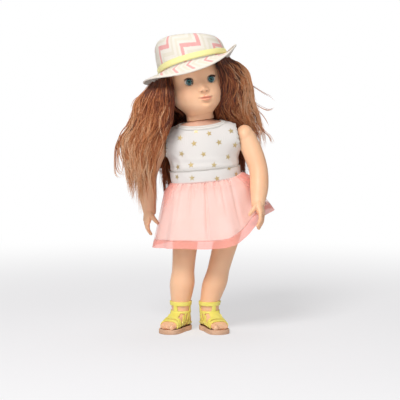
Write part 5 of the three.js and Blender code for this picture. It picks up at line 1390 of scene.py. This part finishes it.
def fall_mass(name, guides, wide, deep):
    """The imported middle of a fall, one smooth body"""
    parts = []
    ends = np.array([0.8, 1, 1, 1, 1, 0.9, 0.7, 0.25])
    last = len(guides) - 1
    for k, guide in enumerate(guides):
        slim = 0.55 if k in (0, last) else 1.0
        middle = np.mean([guides[max(k - 1, 0)], guides[min(k + 1, last)]], 0)
        line = spline(np.array(guide) * 0.55 + middle * 0.45, 40)[:33]
        rings = tube(line, ends * wide * slim, ends * deep * slim, 30, 14)
        parts.append(piece("mass_part", *capped(rings), HAIR_PLACE, PACKED_HAIR))
    return melted(parts, name, 2.2, 6, PACKED_HAIR)


def make_fall(fall, wide, deep, clumps, per_clump, depth, light, shade, lighter_to_tip, wisps):
    made = [fall_mass(f"hair_{fall}_mass", GUIDES[fall], wide, deep)]
    lines, thick, tones = fall_strands(GUIDES[fall], clumps, per_clump, depth, light, shade)
    for path in LOOSE.get(fall, ()):
        for _ in range(wisps):
            line = spline(path, 60)[:int(60 * rng.uniform(0.75, 1.0))]
            line = line[np.linspace(0, len(line) - 1, LINE_POINTS).astype(int)]
            drift = rng.normal(0, 1.0, 3) * np.array([1, 1.5, 1])
            lines.append(line + drift * np.linspace(0.6, 1.4, LINE_POINTS)[:, None])
            thick.append(rng.uniform(0.24, 0.38))
            tones.append(rng.uniform(0.45, 0.85))
    for k, low in enumerate(range(0, len(lines), STRANDS_PER_PIECE)):
        part = slice(low, low + STRANDS_PER_PIECE)
        name = f"hair_{fall}_strands_{k + 1}"
        made.append(strands(name, lines[part], thick[part], tones[part], HAIR_PLACE, lighter_to_tip))
    for one in made:
        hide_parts(f"hair_{fall}")
        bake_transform(one)


SCALP_TOP, SCALP_STRAND_TOP, SCALP_LOW = 108, 100, 22
SCALP_STRANDS = 1300


def scalp_edge(phi):
    """Height where the combed hair ends, round the head: higher beside the face"""
    phi = np.abs(np.where(phi > np.pi, phi - 2 * np.pi, phi))
    side = math.radians(100)
    return np.where(phi > side, SCALP_LOW, SCALP_LOW + 30 * step(side - phi, 0, 0.6))


def make_scalp():
    """Hair combed down over the head, from under the hat to the falls"""
    rows, sides = 30, 120
    phi = np.radians(np.linspace(52, 308, sides))
    grid = [head_shape(phi, SCALP_TOP + (scalp_edge(phi) - SCALP_TOP) * t, 3.2 + 0.6 * np.sin(40 * phi))
            for t in np.linspace(0, 1, rows)]
    faces = grid_faces(rows, sides, wrap=False)
    made = outward(piece("hair_scalp_cap", grid, faces, HEAD, PACKED_HAIR))
    modify(made, "SOLIDIFY", thickness=2.2 * MM, offset=0.0)
    settle(made, "head", "hair_fibre", "hair_scalp")
    lines, thick, tones = [], [], []
    s = np.linspace(0, 1, 11)
    for _ in range(SCALP_STRANDS):
        phi = math.radians(rng.uniform(50, 310))
        drift = rng.normal(0, 0.05)
        end = float(scalp_edge(phi)) - rng.uniform(0, 14)
        z = SCALP_STRAND_TOP + (end - SCALP_STRAND_TOP) * s
        lines.append(head_shape(phi + drift * s, z, 4.3 + rng.uniform(0, 2.2)))
        thick.append(rng.uniform(0.3, 0.5))
        # Scalp strands are dark: painted shade under the brim and beside the face
        tones.append(np.clip(0.2 + 0.13 * rng.normal(), 0, 1))
    made = strands("hair_scalp_strands", lines, thick, tones, HEAD)
    settle(made, "head", "hair_fibre", "hair_scalp")


for fall, sizes in FALLS.items():
    make_fall(fall, *sizes)
make_scalp()

# Inner hardware keeps its solids, with a finish of its own
for name, made in frame["nodes"].items():
    if not made.hide_render:
        made.data.materials.clear()
        made.data.materials.append(STEEL if name in ("eye_axle", "eye_weight") else HARD_PLASTIC)

# Stage: a pale floor, soft light from the upper left. Lights: place, size, power, spread, height aimed at
FLOOR_HALF = 9
LIGHTS = {
    "key": ((-0.6, -1.6, 1.85), 0.9, 42, 180, 0.24),
    "fill": ((1.4, -1.6, 0.9), 1.4, 3, 180, 0.24),
    "top": ((0.1, 0.5, 2.0), 1.2, 6, 180, 0.24),
    "low": ((-0.25, -1.8, 0.3), 0.9, 0.17, 36, 0.1),
}


def make_paper():
    # Matt paper that looks evenly bright far off and takes a soft shadow under the doll
    paper = bpy.data.materials.new("pale_paper")
    paper.use_nodes = True
    tree = paper.node_tree
    tree.nodes.clear()
    place = node(tree, "TexCoord").outputs["Object"]
    reach = node(tree, "VectorMath", {0: place}, operation="LENGTH").outputs["Value"]
    far = node(tree, "MapRange", {"Value": reach, "From Min": 0.3, "From Max": 1.3},
               interpolation_type="SMOOTHSTEP").outputs["Result"]
    white = node(tree, "BsdfDiffuse", {"Color": colour("#EFEEF0")}).outputs[0]
    # Near the doll its glow is a touch greyer, a faint painted shade
    tint = node(tree, "ValToRGB", {"Fac": far}, [(0.0, "#F8F7F8"), (1.0, "#FFFFFF")]).outputs["Color"]
    glow = node(tree, "Emission", {"Color": tint, "Strength": 1.0}).outputs[0]
    path = node(tree, "LightPath")
    seen = path.outputs["Is Camera Ray"]
    for ray in ("Is Glossy Ray", "Is Transmission Ray"):
        seen = node(tree, "Math", {0: seen, 1: path.outputs[ray]}, operation="MAXIMUM").outputs[0]
    plain = node(tree, "MapRange", {"Value": far, "To Min": 0.55, "To Max": 1.0}).outputs["Result"]
    share = node(tree, "Math", {0: seen, 1: plain}, operation="MULTIPLY").outputs[0]
    mixed = node(tree, "MixShader", {0: share, 1: white, 2: glow}).outputs[0]
    node(tree, "OutputMaterial", {"Surface": mixed})
    return paper


def make_stage():
    scene = bpy.context.scene
    scene.view_settings.view_transform = "Standard"
    mesh = bpy.data.meshes.new("floor")
    corners = [(x * FLOOR_HALF, y * FLOOR_HALF, 0) for x, y in ((-1, -1), (1, -1), (1, 1), (-1, 1))]
    mesh.from_pydata(corners, [], [(0, 1, 2, 3)])
    floor = bpy.data.objects.new("floor", mesh)
    scene.collection.objects.link(floor)
    mesh.materials.append(make_paper())
    world = bpy.data.worlds.new("studio")
    scene.world = world
    world.use_nodes = True
    tree = world.node_tree
    sky = tree.nodes["Background"]
    sky.inputs["Color"].default_value = colour("#FFFFFF")
    seen = node(tree, "LightPath").outputs["Is Camera Ray"]
    level = node(tree, "MapRange", {"Value": seen, "To Min": 0.22, "To Max": 1.0})
    tree.links.new(level.outputs["Result"], sky.inputs["Strength"])
    for name, (place, size, power, spread, height) in LIGHTS.items():
        data = bpy.data.lights.new(name, "AREA")
        data.shape = "DISK"
        data.size = size
        data.energy = power
        data.spread = math.radians(spread)
        lamp = bpy.data.objects.new(name, data)
        lamp.location = place
        lamp.rotation_euler = (Vector((0, 0, height)) - Vector(place)).to_track_quat("-Z", "Y").to_euler()
        scene.collection.objects.link(lamp)


make_stage()

bpy.ops.object.select_all(action="DESELECT")
